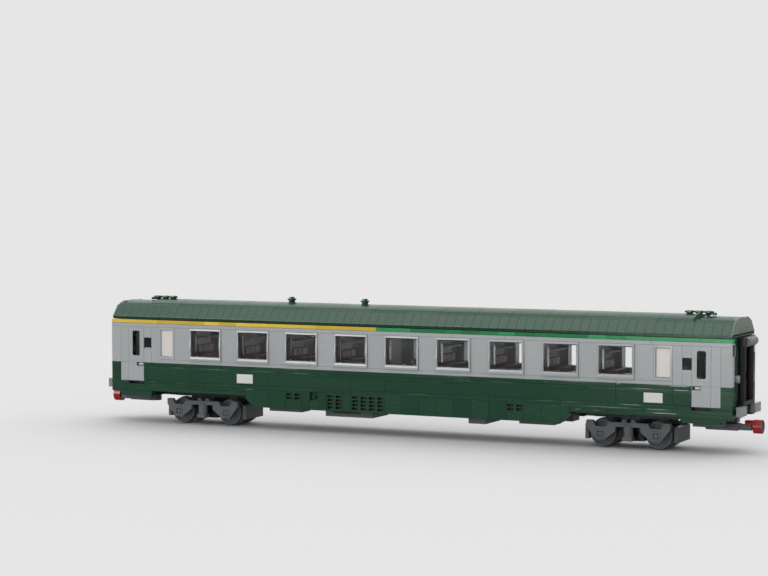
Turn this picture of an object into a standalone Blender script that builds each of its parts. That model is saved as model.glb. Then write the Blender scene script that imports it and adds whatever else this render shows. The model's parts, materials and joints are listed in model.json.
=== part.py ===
# A brick-built toy passenger coach on two bogies, in metres.
# +X runs along the coach, +Y is its left side, +Z is up. The origin is on the floor under its middle.
import math

import bmesh
import bpy
from mathutils import Matrix, Vector

# The grid that the toy's bricks are built on
stud = 0.008
plate = 0.0032
half_plate = plate / 2

# Clearances
touch_gap = 0.0003
axle_clearance = 0.0003
overrun = 0.002

# Wheels and cross-shaped axles
flange_radius = 0.0121
tread_radius = 0.0112
hub_radius = 0.0042
rim_wall = 0.0018
wheel_width = 0.0065
flange_width = 0.0016
dish_depth = 0.0012
wheel_face_y = 0.0165
axle_radius = 0.0024
axle_arm_width = 0.0018
wheelbase = 6 * stud

# Heights above the axle, then above the floor
waist_above_axle = 0.0427
axle_height = flange_radius
waist = axle_height + waist_above_axle
band_height = 11 * plate
stripe_height = plate
eaves_height = plate
roof_height = 4.5 * plate
stripe_base = waist + band_height
eaves_base = stripe_base + stripe_height
roof_base = eaves_base + eaves_height
roof_top = roof_base + roof_height

# Body width and its walls
half_width = 4 * stud
wall = stud
inner_half_width = half_width - wall

# Windows, set out from the middle of the side
window_count = 9
window_pitch = 6 * stud
window_module = 4 * stud
window_width = 3.4 * stud
window_low = 2.2 * plate
window_high = 9.0 * plate
window_setback = 0.0022
pane_thickness = 0.0010
frame_low = plate
frame_high = 10 * plate
frame_recess = 0.0005

# What stands between the last window and the end, going outwards
end_wall_length = 2 * stud
small_window_width = 2 * stud
column_width = stud
door_width = 2 * stud
small_pane_width = 1.55 * stud
small_pane_low = 1.85 * plate
small_pane_high = 9.3 * plate
small_pane_setback = 0.0010

half_windows = (window_count - 1) / 2 * window_pitch + window_module / 2
small_window_inner = half_windows + end_wall_length
small_window_outer = small_window_inner + small_window_width
dark_panel_inner = small_window_outer + column_width
door_inner = dark_panel_inner + column_width
door_outer = door_inner + door_width
post_outer = door_outer + column_width
half_body = post_outer + column_width
half_side = half_body + half_plate

# The dark square panel beside each door
dark_panel_low = 4 * plate
dark_panel_height = 3 * plate
dark_panel_depth = 0.0008
panel_margin = 0.0004

# Doors, their windows and their bar handles
door_drop = 5.2 * plate
door_top = 10 * plate
door_window_width = 0.9 * stud
door_window_low = 1.9 * plate
door_window_high = 8.85 * plate
door_window_radius = 0.0015
handle_depth = 0.0030
handle_radius = 0.0010
step_slot_height = 0.9 * plate

# Lower sides: over the bogies, at the ends and between the bogies
side_drop = 8 * plate
corner_drop = 8.3 * plate
end_drop = 9.4 * plate
skirt_drop = 11 * plate
skirt_shoulder_drop = 8.5 * plate
skirt_chamfer = stud
half_skirt = 19 * stud
end_skirt_inner = small_window_outer + column_width
end_skirt_outer = post_outer

# Grilles and the filler recess cut in the skirt
grille_depth = 0.0020
slot_width = 0.7 * stud
slot_height = 0.35 * plate
slot_row_pitch = plate
slot_top_drop = 6.9 * plate
filler_start = -11 * stud
filler_width = 0.9 * stud
filler_top_drop = 6.2 * plate
filler_height = 2.2 * plate
filler_depth = 0.0030
knob_radius = 0.0016

# Roof
roof_wall = plate
roof_bulge = 1.6
roof_half_facets = 9
eaves_setback = 0.0010
cap_thickness = half_plate

# Ventilators, from the stem up
vent_places = (-15.26 * stud, -6.27 * stud)
vent_stem_radius = 0.00275
vent_rim_radius = 0.0038
vent_cap_radius = 0.00235
vent_stem_height = 0.0018
vent_rim_height = 0.0014
vent_cap_height = 0.0015

# The raised leaves near each end of the roof, and the curved bar beside the front ones
leaf_count = 3
leaf_length = stud
leaf_width = 0.0060
leaf_height = 0.0020
leaf_lift = 0.0012
tail_length = 0.6 * stud
tail_height = 0.0012
rail_inner = 30 * stud
bar_radius = 0.0010
bar_place = 31.7 * stud
bar_foot_y = 0.0200
bar_top_y = 0.0040
bar_sink = 0.0006
bar_steps = 6

# Ends
cladding = plate
cladding_face = half_side + cladding
cladding_inner_y = 0.0200
column_radius = 0.0040
column_centre_y = 1.5 * stud
column_ahead = 0.0030
column_centre_x = half_body + column_ahead
column_drop = 0.0155
column_top = eaves_base
end_door_half_width = stud
end_door_thickness = 0.0030
end_door_rise = 10 * plate
header_height = 0.0080
sill_height = 0.0032
roller_radius = 0.0040
roller_length = 2 * stud
roller_sink = 0.0021
roller_ahead = 0.0033
lamp_radius = 0.0040
lamp_thickness = 0.0027
lamp_y = 3.5 * stud
lamp_rise = 0.0059

# Buffers
buffer_length = 2 * stud
buffer_height = 0.0080
buffer_thickness = 0.0033
buffer_centre_y = 2.5 * stud
buffer_drop = 0.0198
beam_height = 0.0064

# Entrance steps behind the doors' skirt
step_drop = 10.4 * plate
step_width = stud

# Underframe and its boxes
floor_drop = door_drop
bolster_drop = side_drop
box_inner_y = stud
box_outer_y = 3 * stud

# Bogie side frames: the bar, the lobes round the axles and the tips, from the axles' height
side_frame_inner_y = 0.0206
side_frame_thickness = 0.0040
side_frame_outer_y = side_frame_inner_y + side_frame_thickness
bar_low = 0.0062
bar_high = 0.0097
bar_half = 0.0170
hanger_half = 0.0108
hanger_low = 0.0025
lobe_drop = 0.0051
lobe_half = 0.0035
notch_inner = 0.0048
notch_outer = 0.0040
notch_floor = 0.0059
tip_reach = 0.0120
tip_low = 0.0057
tip_high = 0.0106
tip_width = 0.0055
boss_radius = 0.0040
boss_height = 0.0006

# The spring in the middle of each side frame
spring_radius = 0.0040
spring_drop = 0.0019
spring_foot_half = 0.0040
spring_foot_drop = 0.0053

# What joins the two side frames
bogie_half_length = wheelbase / 2 + tip_reach
bogie_clearance = 1.5 * stud
bogie_centre = half_skirt + bogie_clearance + bogie_half_length
centre_block_half = 0.0110
centre_block_half_width = 2 * stud
centre_block_drop = 0.0058
centre_block_rise = 0.0067
centre_hole_x = stud / 2
centre_hole_radius = 0.0024
centre_hole_depth = 0.0040
pin_radius = 0.0024
pin_rise = 0.0097
spine_half_width = 0.0075
spine_rise = 0.0035
bolster_half_length = stud
top_plate_half = 4 * stud
top_plate_rise = 0.0129
top_plate_thickness = plate
turntable_radius = 0.0090
end_block_gap = 0.0006
end_block_thickness = plate
holder_half_length = stud / 2
axle_holder_drop = 0.0040

# Couplers: the arm, then the red holder with its magnet
coupler_pin_x = half_body - 3 * stud
coupler_pin_radius = 0.0024
arm_half_width = 0.0060
arm_height = 0.0052
arm_end_gap = 0.0012
clip_length = 0.0110
clip_height = 0.0042
clip_half_width = 0.0048
magnet_radius = 0.0056
magnet_length = 0.0070
magnet_drop = 0.0335
magnet_reach = 0.0175
magnet_face = half_body + magnet_reach
magnet_rim = 0.0010
magnet_disc_sink = 0.0005
arm_below_magnet = 0.0009
holder_length = 0.0070
holder_half_width = 0.0030
holder_height = 0.0032

# Inside
deck_thickness = plate
partition_thickness = stud / 2
partition_rise = 9 * plate
bench_half_width = 2 * stud
bench_back_thickness = stud / 2
bench_back_rise = 5 * plate
cushion_depth = 1.5 * stud
cushion_rise = 2.9 * plate

round_sides = 24
small_sides = 12
wheel_sides = 32


def remove_everything():
    for thing in list(bpy.data.objects):
        bpy.data.objects.remove(thing, do_unlink=True)


def material(name, colour, roughness):
    made = bpy.data.materials.get(name)
    if made is None:
        made = bpy.data.materials.new(name)
        made.use_nodes = True
        shader = made.node_tree.nodes["Principled BSDF"]
        shader.inputs["Base Color"].default_value = (*colour, 1.0)
        shader.inputs["Roughness"].default_value = roughness
        shader.inputs["Metallic"].default_value = 0.0
    return made


def light_grey():
    return material("light_grey_plastic", (0.33, 0.35, 0.37), 0.25)


def dark_green():
    return material("dark_green_plastic", (0.017, 0.053, 0.032), 0.25)


def bright_green():
    return material("bright_green_plastic", (0.030, 0.200, 0.075), 0.25)


def yellow():
    return material("yellow_plastic", (0.58, 0.42, 0.045), 0.25)


def dark_grey():
    return material("dark_grey_plastic", (0.080, 0.090, 0.100), 0.30)


def black():
    return material("black_plastic", (0.012, 0.012, 0.013), 0.30)


def milky():
    return material("milky_pane", (0.68, 0.62, 0.59), 0.35)


def smoked():
    return material("clear_pane", (0.10, 0.10, 0.11), 0.05)


def brown():
    return material("reddish_brown_plastic", (0.120, 0.030, 0.018), 0.30)


def red():
    return material("red_plastic", (0.300, 0.013, 0.016), 0.25)


def keep(name, mesh):
    shape = bpy.data.objects.new(name, mesh)
    bpy.context.scene.collection.objects.link(shape)
    return shape


def from_bmesh(form, name="shape"):
    bmesh.ops.recalc_face_normals(form, faces=form.faces)
    mesh = bpy.data.meshes.new(name)
    form.to_mesh(mesh)
    form.free()
    return keep(name, mesh)


# A block between two corners
def block(low, high):
    form = bmesh.new()
    bmesh.ops.create_cube(form, size=1.0)
    low, high = Vector(low), Vector(high)
    bmesh.ops.scale(form, vec=high - low, verts=form.verts)
    bmesh.ops.translate(form, vec=(low + high) / 2, verts=form.verts)
    return from_bmesh(form)


# A flat outline of points, pushed out along a vector
def pushed(points, along):
    form = bmesh.new()
    face = form.faces.new([form.verts.new(point) for point in points])
    grown = bmesh.ops.extrude_face_region(form, geom=[face])
    moved = [item for item in grown["geom"] if isinstance(item, bmesh.types.BMVert)]
    bmesh.ops.translate(form, vec=along, verts=moved)
    return from_bmesh(form)


# An outline given as (x, z) points, pushed out from y = low to y = high
def side_profile(outline, low, high):
    return pushed([(x, low, z) for x, z in outline], (0, high - low, 0))


# An outline given as (y, z) points, pushed out from x = low to x = high
def cross_profile(outline, low, high):
    return pushed([(low, y, z) for y, z in outline], (high - low, 0, 0))


turns = {
    "X": Matrix.Rotation(math.pi / 2, 4, "Y"),
    "Y": Matrix.Rotation(-math.pi / 2, 4, "X"),
    "Z": Matrix.Identity(4),
}


# A round bar with its middle at centre, lying along one axis
def rod(centre, radius, length, axis, sides=round_sides):
    form = bmesh.new()
    bmesh.ops.create_cone(form, cap_ends=True, segments=sides, radius1=radius, radius2=radius, depth=length)
    bmesh.ops.transform(form, matrix=Matrix.Translation(centre) @ turns[axis], verts=form.verts)
    return from_bmesh(form)


# A turned piece: a closed (radius, height) outline swept round the Z axis and then laid along an axis
def turned(outline, centre, axis, sides=round_sides):
    form = bmesh.new()
    ring = [form.verts.new((radius, 0, height)) for radius, height in outline]
    edges = [form.edges.new((ring[i], ring[(i + 1) % len(ring)])) for i in range(len(ring))]
    bmesh.ops.spin(form, geom=ring + edges, cent=(0, 0, 0), axis=(0, 0, 1), angle=2 * math.pi,
                   steps=sides, use_merge=True)
    bmesh.ops.remove_doubles(form, verts=form.verts, dist=touch_gap / 100)
    bmesh.ops.transform(form, matrix=Matrix.Translation(centre) @ turns[axis], verts=form.verts)
    return from_bmesh(form)


# Several shapes as one mesh of separate bodies, for a cut with many tools
def gather(shapes):
    form = bmesh.new()
    for shape in shapes:
        form.from_mesh(shape.data)
        bpy.data.objects.remove(shape, do_unlink=True)
    mesh = bpy.data.meshes.new("tools")
    form.to_mesh(mesh)
    form.free()
    return keep("tools", mesh)


def combine(target, tool, operation):
    step = target.modifiers.new(operation.lower(), "BOOLEAN")
    step.operation = operation
    step.solver = "EXACT"
    step.object = tool
    mesh = bpy.data.meshes.new_from_object(target.evaluated_get(bpy.context.evaluated_depsgraph_get()))
    target.modifiers.clear()
    target.data = mesh
    bpy.data.objects.remove(tool, do_unlink=True)
    return target


# Shapes cut in one call don't overlap each other
def cut(target, shapes):
    return combine(target, gather(shapes), "DIFFERENCE")


def weld(target, shapes):
    for shape in shapes:
        combine(target, shape, "UNION")
    return target


def name_it(shape, name, look, round_edges=False):
    shape.name = name
    shape.data.name = name
    shape.data.materials.clear()
    shape.data.materials.append(look)
    if round_edges:
        shape.data.shade_smooth()
        shape.data.set_sharp_from_angle(angle=math.radians(35))
    return shape


def place(shape, x, y, z):
    shape.data.transform(Matrix.Translation((x, y, z)))
    return shape


# What is made for the front end, turned half round when it belongs at the rear
def at_end(shape, sign):
    if sign < 0:
        shape.data.transform(Matrix.Rotation(math.pi, 4, "Z"))
    return shape


# Both depths of a layer in a side wall, ordered, for the side with this sign
def depths(side, outer, inner):
    return min(side * outer, side * inner), max(side * outer, side * inner)


def window_centres():
    return [(i - (window_count - 1) / 2) * window_pitch for i in range(window_count)]


def both_ways(inner, outer):
    middle = (inner + outer) / 2
    return [-middle, middle]


# A rectangle in (x, z) with round corners
def round_outline(centre_x, low, width, height, radius, steps=3):
    points = []
    corners = [(1, 1, 0), (-1, 1, 1), (-1, -1, 2), (1, -1, 3)]
    for sx, sz, quarter in corners:
        cx = centre_x + sx * (width / 2 - radius)
        cz = low + height / 2 + sz * (height / 2 - radius)
        for i in range(steps + 1):
            angle = (quarter + i / steps) * math.pi / 2
            points.append((cx + radius * math.cos(angle), cz + radius * math.sin(angle)))
    return points


# The green lower side between the bogies, with its skirt
def make_lower_side(side, name):
    right = [
        (half_skirt, waist - touch_gap),
        (half_skirt, waist - skirt_shoulder_drop),
        (half_skirt - skirt_chamfer, waist - skirt_drop),
    ]
    outline = right + [(-x, z) for x, z in reversed(right)]
    low, high = depths(side, half_width, inner_half_width)
    shape = side_profile(outline, low, high)
    cut(shape, grille_slots(side) + [filler_recess(side)])
    weld(shape, [filler_knob(side)])
    return name_it(shape, name, dark_green())


# The green lower side over one bogie, recessed round the door, with the step slot and the entrance step
def make_lower_end(side, sign, name):
    outline = [
        (half_skirt + touch_gap, waist - touch_gap),
        (half_side, waist - touch_gap),
        (half_side, waist - corner_drop),
        (end_skirt_outer, waist - corner_drop),
        (end_skirt_outer, waist - end_drop),
        (end_skirt_inner, waist - end_drop),
        (end_skirt_inner, waist - side_drop),
        (half_skirt + touch_gap, waist - side_drop),
    ]
    low, high = depths(side, half_width, inner_half_width)
    shape = side_profile([(sign * x, z) for x, z in outline], low, high)
    x0, x1 = sorted((sign * (door_inner - touch_gap), sign * (post_outer + touch_gap)))
    recess = block((x0, low - overrun, waist - door_drop - touch_gap), (x1, high + overrun, waist + overrun))
    cut(shape, [recess])
    x0, x1 = sorted((sign * door_inner, sign * door_outer))
    slot = block((x0, low - overrun, waist - door_drop - step_slot_height),
                 (x1, high + overrun, waist - door_drop))
    cut(shape, [slot])
    x0, x1 = sorted((sign * end_skirt_inner, sign * (half_body - wall - touch_gap)))
    low, high = depths(side, inner_half_width + overrun, inner_half_width - step_width)
    step = block((x0, low, waist - step_drop), (x1, high, waist - side_drop - touch_gap))
    weld(shape, [step])
    return name_it(shape, name, dark_green())


# Slots in the skirt: name, first slot's left end from the middle, slots in a row, rows
grille_table = [
    ("two_row_left", -14 * stud, 2, 2),
    ("small", -9 * stud, 2, 4),
    ("large", -6 * stud, 4, 4),
    ("two_row_right", 12 * stud, 2, 2),
]


# Places along a side are seen from outside, so they run the other way on the left side
def grille_slots(side):
    tools = []
    low, high = depths(side, half_width + overrun, half_width - grille_depth)
    margin = (stud - slot_width) / 2
    for _, start, columns, rows in grille_table:
        for column in range(columns):
            for row in range(rows):
                x = start + column * stud + margin
                z = waist - slot_top_drop - row * slot_row_pitch
                x0, x1 = sorted((-side * x, -side * (x + slot_width)))
                tools.append(block((x0, low, z - slot_height), (x1, high, z)))
    return tools


def filler_recess(side):
    low, high = depths(side, half_width + overrun, half_width - filler_depth)
    x0, x1 = sorted((-side * filler_start, -side * (filler_start + filler_width)))
    top = waist - filler_top_drop
    return block((x0, low, top - filler_height), (x1, high, top))


def filler_knob(side):
    length = filler_depth + overrun
    middle_y = side * (half_width - length / 2)
    middle_z = waist - filler_top_drop - filler_height / 2
    return rod((-side * (filler_start + filler_width / 2), middle_y, middle_z), knob_radius, length, "Y",
               small_sides)


# The light grey upper half of one side, with its windows, its door posts and its door openings
def make_window_band(side, name):
    low, high = depths(side, half_width, inner_half_width)
    top = waist + band_height
    right = [
        (half_side, top),
        (half_side, waist),
        (post_outer, waist),
        (post_outer, waist - door_drop),
        (door_outer + touch_gap, waist - door_drop),
        (door_outer + touch_gap, waist + door_top),
        (door_inner - touch_gap, waist + door_top),
        (door_inner - touch_gap, waist),
    ]
    outline = right + [(-x, z) for x, z in reversed(right)]
    shape = side_profile(outline, low, high)
    openings, recesses = [], []
    for x in window_centres():
        openings.append(block((x - window_width / 2, low - overrun, waist + window_low),
                              (x + window_width / 2, high + overrun, waist + window_high)))
    for x in both_ways(small_window_inner, small_window_outer):
        openings.append(block((x - small_pane_width / 2, low - overrun, waist + small_pane_low),
                              (x + small_pane_width / 2, high + overrun, waist + small_pane_high)))
    low, high = depths(side, half_width + overrun, half_width - frame_recess)
    half = window_module / 2 - panel_margin
    for x in window_centres():
        recesses.append(block((x - half, low, waist + frame_low + panel_margin),
                              (x + half, high, waist + frame_high - panel_margin)))
    low, high = depths(side, half_width + overrun, half_width - dark_panel_depth)
    half = column_width / 2 - panel_margin
    for x in both_ways(dark_panel_inner, door_inner):
        recesses.append(block((x - half, low, waist + dark_panel_low + panel_margin),
                              (x + half, high, waist + dark_panel_low + dark_panel_height - panel_margin)))
    cut(shape, openings)
    cut(shape, recesses)
    return name_it(shape, name, light_grey())


# Glass in the main windows and milky glass in the small ones
def make_panes(side, word):
    low, high = depths(side, half_width - window_setback, half_width - window_setback - pane_thickness)
    for number, x in enumerate(window_centres(), 1):
        pane = block((x - window_width / 2 + touch_gap, low, waist + window_low + touch_gap),
                     (x + window_width / 2 - touch_gap, high, waist + window_high - touch_gap))
        name_it(pane, f"window_pane_{word}_{number}", smoked())
    low, high = depths(side, half_width - small_pane_setback, half_width - small_pane_setback - pane_thickness)
    for end, x in zip(("rear", "front"), both_ways(small_window_inner, small_window_outer)):
        pane = block((x - small_pane_width / 2 + touch_gap, low, waist + small_pane_low + touch_gap),
                     (x + small_pane_width / 2 - touch_gap, high, waist + small_pane_high - touch_gap))
        name_it(pane, f"small_pane_{word}_{end}", milky())


# One entrance door leaf with its tall round-cornered window, its bar handle, and the glass in it
def make_door(side, word, end, x):
    low, high = depths(side, half_width, inner_half_width)
    leaf = block((x - door_width / 2, low, waist - door_drop),
                 (x + door_width / 2, high, waist + door_top - touch_gap))
    height = door_window_high - door_window_low
    opening = side_profile(round_outline(x, waist + door_window_low, door_window_width, height,
                                         door_window_radius), low - overrun, high + overrun)
    low, high = depths(side, half_width + overrun, half_width - handle_depth)
    inward = math.copysign(1, -x)
    x0, x1 = sorted((x + inward * panel_margin, x + inward * (door_width / 2 - panel_margin)))
    cell = block((x0, low, waist - plate), (x1, high, waist))
    cut(leaf, [opening, cell])
    bar = rod(((x0 + x1) / 2, side * (half_width - handle_radius - panel_margin), waist - half_plate),
              handle_radius, x1 - x0 + panel_margin, "X", small_sides)
    weld(leaf, [bar])
    name_it(leaf, f"door_{word}_{end}", light_grey())
    low, high = depths(side, half_width - window_setback, half_width - window_setback - pane_thickness)
    pane = side_profile(round_outline(x, waist + door_window_low + touch_gap,
                                      door_window_width - 2 * touch_gap, height - 2 * touch_gap,
                                      door_window_radius - touch_gap), low, high)
    name_it(pane, f"door_pane_{word}_{end}", smoked())


# The stripe over the windows: yellow along the rear part, bright green along the front part
stripe_split = -3 * stud


def make_stripes(side, word):
    low, high = depths(side, half_width, inner_half_width)
    base = stripe_base + touch_gap
    rear = block((-half_side, low, base), (stripe_split - touch_gap, high, eaves_base))
    front = block((stripe_split, low, base), (half_side, high, eaves_base))
    name_it(rear, f"stripe_yellow_{word}", yellow())
    name_it(front, f"stripe_green_{word}", bright_green())


# Height of the roof's outside over its base, at a share of the half width from the middle
def roof_rise(share, height=roof_height):
    return height * max(0.0, 1.0 - share * share) ** (1 / roof_bulge)


# Points of the roof's section from the right eave over the top to the left one
def roof_curve(reach, height):
    count = 2 * roof_half_facets
    shares = [-math.cos(math.pi * i / count) for i in range(count + 1)]
    return [(reach * share, roof_base + roof_rise(share, height)) for share in shares]


def make_roof():
    base = eaves_base + touch_gap
    eave = half_width - eaves_setback
    section = [(-eave, base), (-eave, roof_base)] + roof_curve(half_width, roof_height)
    section += [(eave, roof_base), (eave, base), (inner_half_width, base)]
    section += list(reversed(roof_curve(inner_half_width, roof_height - roof_wall))) + [(-inner_half_width, base)]
    shape = cross_profile(section, -half_body, half_body)
    end_section = section[:2 * roof_half_facets + 5]
    fittings = [cross_profile(end_section, *sorted((sign * (half_body - cap_thickness),
                                                    sign * (half_body + cap_thickness)))) for sign in (-1, 1)]
    fittings.extend(make_vent(x) for x in vent_places)
    for sign in (-1, 1):
        fittings.extend(make_leaves(sign))
    fittings.append(make_curved_bar())
    weld(shape, fittings)
    return name_it(shape, "roof", dark_green(), True)


# A round ventilator: a stem, a wide rim and a stud on top
def make_vent(x):
    root = roof_top - overrun
    stem = overrun + vent_stem_height
    rim = stem + vent_rim_height
    cap = rim + vent_cap_height
    outline = [
        (0, 0),
        (vent_stem_radius, 0),
        (vent_stem_radius, stem),
        (vent_rim_radius, stem),
        (vent_rim_radius, rim),
        (vent_cap_radius, rim),
        (vent_cap_radius, cap),
        (0, cap),
    ]
    return turned(outline, (x, 0, root), "Z", small_sides)


# The section of one leaf, in shares of its length along x, with its foot in the roof
leaf_foot_share = 0.20
leaf_edge_share = 0.54
leaf_top_share = 0.26


# A row of raised leaves with a lower tail on its outer end
def make_leaves(sign):
    shapes = []
    low = roof_top + leaf_lift
    for i in range(leaf_count):
        centre = sign * (rail_inner + leaf_length * (i + 1 / 2))
        points = [
            (centre - leaf_length * leaf_edge_share, low),
            (centre - leaf_length * leaf_foot_share, roof_top - overrun),
            (centre + leaf_length * leaf_foot_share, roof_top - overrun),
            (centre + leaf_length * leaf_edge_share, low),
            (centre + leaf_length * leaf_top_share, low + leaf_height),
            (centre - leaf_length * leaf_top_share, low + leaf_height),
        ]
        shapes.append(side_profile(points, -leaf_width / 2, leaf_width / 2))
    start = rail_inner + leaf_count * leaf_length
    x0, x1 = sorted((sign * (start - leaf_length * leaf_foot_share), sign * (start + tail_length)))
    shapes.append(block((x0, -leaf_width / 4, roof_top - overrun), (x1, leaf_width / 4, roof_top + tail_height)))
    return shapes


# A thin bar that climbs over the roof's shoulder beside the front leaves, made of short straight pieces
def make_curved_bar():
    points = []
    for i in range(bar_steps + 1):
        y = -bar_foot_y + (bar_foot_y - bar_top_y) * i / bar_steps
        points.append((y, roof_base + roof_rise(y / half_width) - bar_sink))
    outline = [(y, z + 2 * bar_radius) for y, z in points] + list(reversed(points))
    return cross_profile(outline, bar_place - bar_radius, bar_place + bar_radius)


# The buffer beam across an end, with a flat buffer pad on each side
def buffer_parts(back):
    middle = waist - buffer_drop
    beam_y = cladding_inner_y + overrun / 2
    parts = [block((back - overrun / 2, -beam_y, middle - beam_height / 2),
                   (cladding_face - frame_recess, beam_y, middle + beam_height / 2 - touch_gap))]
    for s in (-1, 1):
        y0, y1 = sorted((s * (buffer_centre_y - buffer_length / 2), s * (buffer_centre_y + buffer_length / 2)))
        parts.append(block((cladding_face - overrun / 2, y0, middle - buffer_height / 2),
                           (cladding_face + buffer_thickness, y1, middle + buffer_height / 2)))
    return parts


# One end: the wall between the sides, the cladding on its corners, the end door, two lamps and the buffers
def make_end_wall(sign, name):
    face = column_centre_x - column_radius - touch_gap
    inner = half_body - wall
    bottom = waist - corner_drop
    top = eaves_base
    side = inner_half_width - touch_gap
    sill = waist - floor_drop
    shape = block((inner, -side, bottom), (face, side, top))
    cut(shape, [block((inner - overrun, -end_door_half_width, sill),
                      (face + overrun, end_door_half_width, waist + end_door_rise))])
    extra = []
    for s in (-1, 1):
        y0, y1 = sorted((s * cladding_inner_y, s * side))
        extra.append(block((face - overrun, y0, bottom), (cladding_face, y1, top)))
        y0, y1 = sorted((s * (side - overrun), s * half_width))
        extra.append(block((half_side + touch_gap, y0, bottom), (cladding_face, y1, top)))
        extra.append(rod((cladding_face + (lamp_thickness - overrun) / 2, s * lamp_y, waist + lamp_rise),
                         lamp_radius, lamp_thickness + overrun, "X"))
    door_y = end_door_half_width + overrun
    extra.append(block((inner, -door_y, sill - overrun),
                       (inner + end_door_thickness, door_y, waist + end_door_rise + overrun)))
    weld(shape, extra + buffer_parts(face))
    return name_it(at_end(shape, sign), name, dark_green())


# The gangway: two round upright bellows tubes with a header and a sill between them, and a roller on top
def make_gangway(sign, name):
    bottom = waist - column_drop
    columns = [rod((column_centre_x, s * column_centre_y, (bottom + column_top) / 2), column_radius,
                   column_top - bottom, "Z") for s in (-1, 1)]
    depth = column_radius / 2
    header = block((column_centre_x - depth, -column_centre_y, column_top - header_height),
                   (column_centre_x + depth, column_centre_y, column_top))
    sill = block((column_centre_x - depth, -column_centre_y, bottom),
                 (column_centre_x + depth, column_centre_y, bottom + sill_height))
    roller = rod((column_centre_x + roller_ahead, 0, column_top - roller_sink), roller_radius, roller_length, "Y")
    shape = weld(columns[0], [header, sill, columns[1], roller])
    return name_it(at_end(shape, sign), name, black(), True)


# Boxes that hang under the floor: name, both ends along x, both edges across y, drop under the waist
box_table = [
    ("small_tank_right", -16 * stud, -12 * stud, -box_outer_y, -box_inner_y, 12 * plate),
    ("small_tank_left", -16 * stud, -12 * stud, box_inner_y, box_outer_y, 12 * plate),
    ("battery_box", -9 * stud, -3 * stud, -box_outer_y, box_inner_y, 12.6 * plate),
    ("valve_box", 8 * stud, 10 * stud, -box_outer_y, box_inner_y, 12.6 * plate),
    ("long_box_right", 13.6 * stud, 18.2 * stud, -box_outer_y, -box_inner_y, 11.9 * plate),
    ("long_box_left", 13.6 * stud, 18.2 * stud, box_inner_y, box_outer_y, 11.9 * plate),
]


def make_underframe():
    end = half_body - wall - touch_gap
    side = inner_half_width - touch_gap
    shape = block((-end, -side, waist - bolster_drop), (end, side, waist - floor_drop))
    root = waist - bolster_drop + overrun
    extra = []
    for _, x0, x1, y0, y1, drop in box_table:
        low = max(y0, -side)
        high = min(y1, side)
        extra.append(block((x0, low, waist - drop), (x1, high, root)))
    weld(shape, extra)
    return name_it(shape, "underframe", dark_grey())


# One bench unit: a partition on a window pillar with a seat on one or both of its faces
def make_bench(x, faces, root):
    half = partition_thickness / 2
    width = bench_half_width
    unit = [block((x - half, -width, root), (x + half, width, waist + partition_rise))]
    for sign in faces:
        x0, x1 = sorted((x, x + sign * (half + bench_back_thickness)))
        unit.append(block((x0, -width, root), (x1, width, waist + bench_back_rise)))
        x0, x1 = sorted((x, x + sign * (half + bench_back_thickness + cushion_depth)))
        unit.append(block((x0, -width, root), (x1, width, waist + cushion_rise)))
    return unit


# Half of the deck inside, with a bench unit at each window pillar
def make_interior(sign, name):
    deck_low = waist - floor_drop + touch_gap
    deck_top = deck_low + deck_thickness
    end = half_body - wall - touch_gap
    side = inner_half_width - touch_gap
    x0, x1 = sorted((sign * touch_gap / 2, sign * end))
    shape = block((x0, -side, deck_low), (x1, side, deck_top))
    places = [centre + sign * window_pitch / 2 for centre in window_centres()]
    pillars = [x for x in places if x * sign > window_pitch / 4]
    root = (deck_low + deck_top) / 2
    extra = []
    for x in pillars:
        faces = (-1, 1)
        if abs(x) > half_windows:
            faces = (-sign,)
        if sign < 0 and abs(x) < window_pitch:
            faces = (-1,)
        extra.extend(make_bench(x, faces, root))
    weld(shape, extra)
    return name_it(shape, name, brown())


# One side frame of a bogie in (x, z) from the bogie's middle and the axle's height
def side_frame_outline():
    axle = wheelbase / 2
    right = [
        (0, bar_low),
        (hanger_half, bar_low),
        (hanger_half, hanger_low),
        (axle - lobe_half, -lobe_drop),
        (axle + lobe_half, -lobe_drop),
        (axle + tip_reach, tip_low),
        (axle + tip_reach, tip_high),
        (axle + tip_reach - tip_width, tip_high),
        (axle + notch_outer, notch_floor),
        (axle - notch_inner, notch_floor),
        (bar_half, bar_high),
        (0, bar_high),
    ]
    return right + [(-x, z) for x, z in reversed(right[1:-1])]


# One side frame with its axle bosses and the spring that stands in its middle
def make_side_frame(s):
    low, high = depths(s, side_frame_outer_y, side_frame_inner_y)
    frame = side_profile([(x, axle_height + z) for x, z in side_frame_outline()], low, high)
    middle_y = s * (side_frame_inner_y + side_frame_thickness / 2)
    parts = []
    for sx in (-1, 1):
        centre = (sx * wheelbase / 2, s * (side_frame_outer_y + (boss_height - overrun) / 2), axle_height)
        parts.append(rod(centre, boss_radius, boss_height + overrun, "Y"))
    spring_top = axle_height + (bar_low + bar_high) / 2
    spring_low = axle_height - spring_drop - overrun / 2
    parts.append(rod((0, middle_y, (spring_top + spring_low) / 2), spring_radius, spring_top - spring_low, "Z",
                     small_sides))
    parts.append(block((-spring_foot_half, middle_y - spring_foot_half, axle_height - spring_foot_drop),
                       (spring_foot_half, middle_y + spring_foot_half, axle_height - spring_drop)))
    weld(frame, parts)
    return cut(frame, [rod((sx * wheelbase / 2, middle_y, axle_height), axle_radius + axle_clearance,
                           2 * side_frame_thickness, "Y", small_sides) for sx in (-1, 1)])


# What carries the axles between the wheels: a holder with a slot that is open below
def make_axle_holder(x):
    width = spine_half_width
    holder = block((x - holder_half_length, -width, axle_height - axle_holder_drop),
                   (x + holder_half_length, width, axle_height + (spine_rise + centre_block_rise) / 2))
    slot = axle_radius + axle_clearance
    cut(holder, [rod((x, 0, axle_height), slot, 2 * (width + overrun), "Y", small_sides)])
    return cut(holder, [block((x - slot, -width - overrun, axle_height - axle_holder_drop - overrun),
                              (x + slot, width + overrun, axle_height))])


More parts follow.
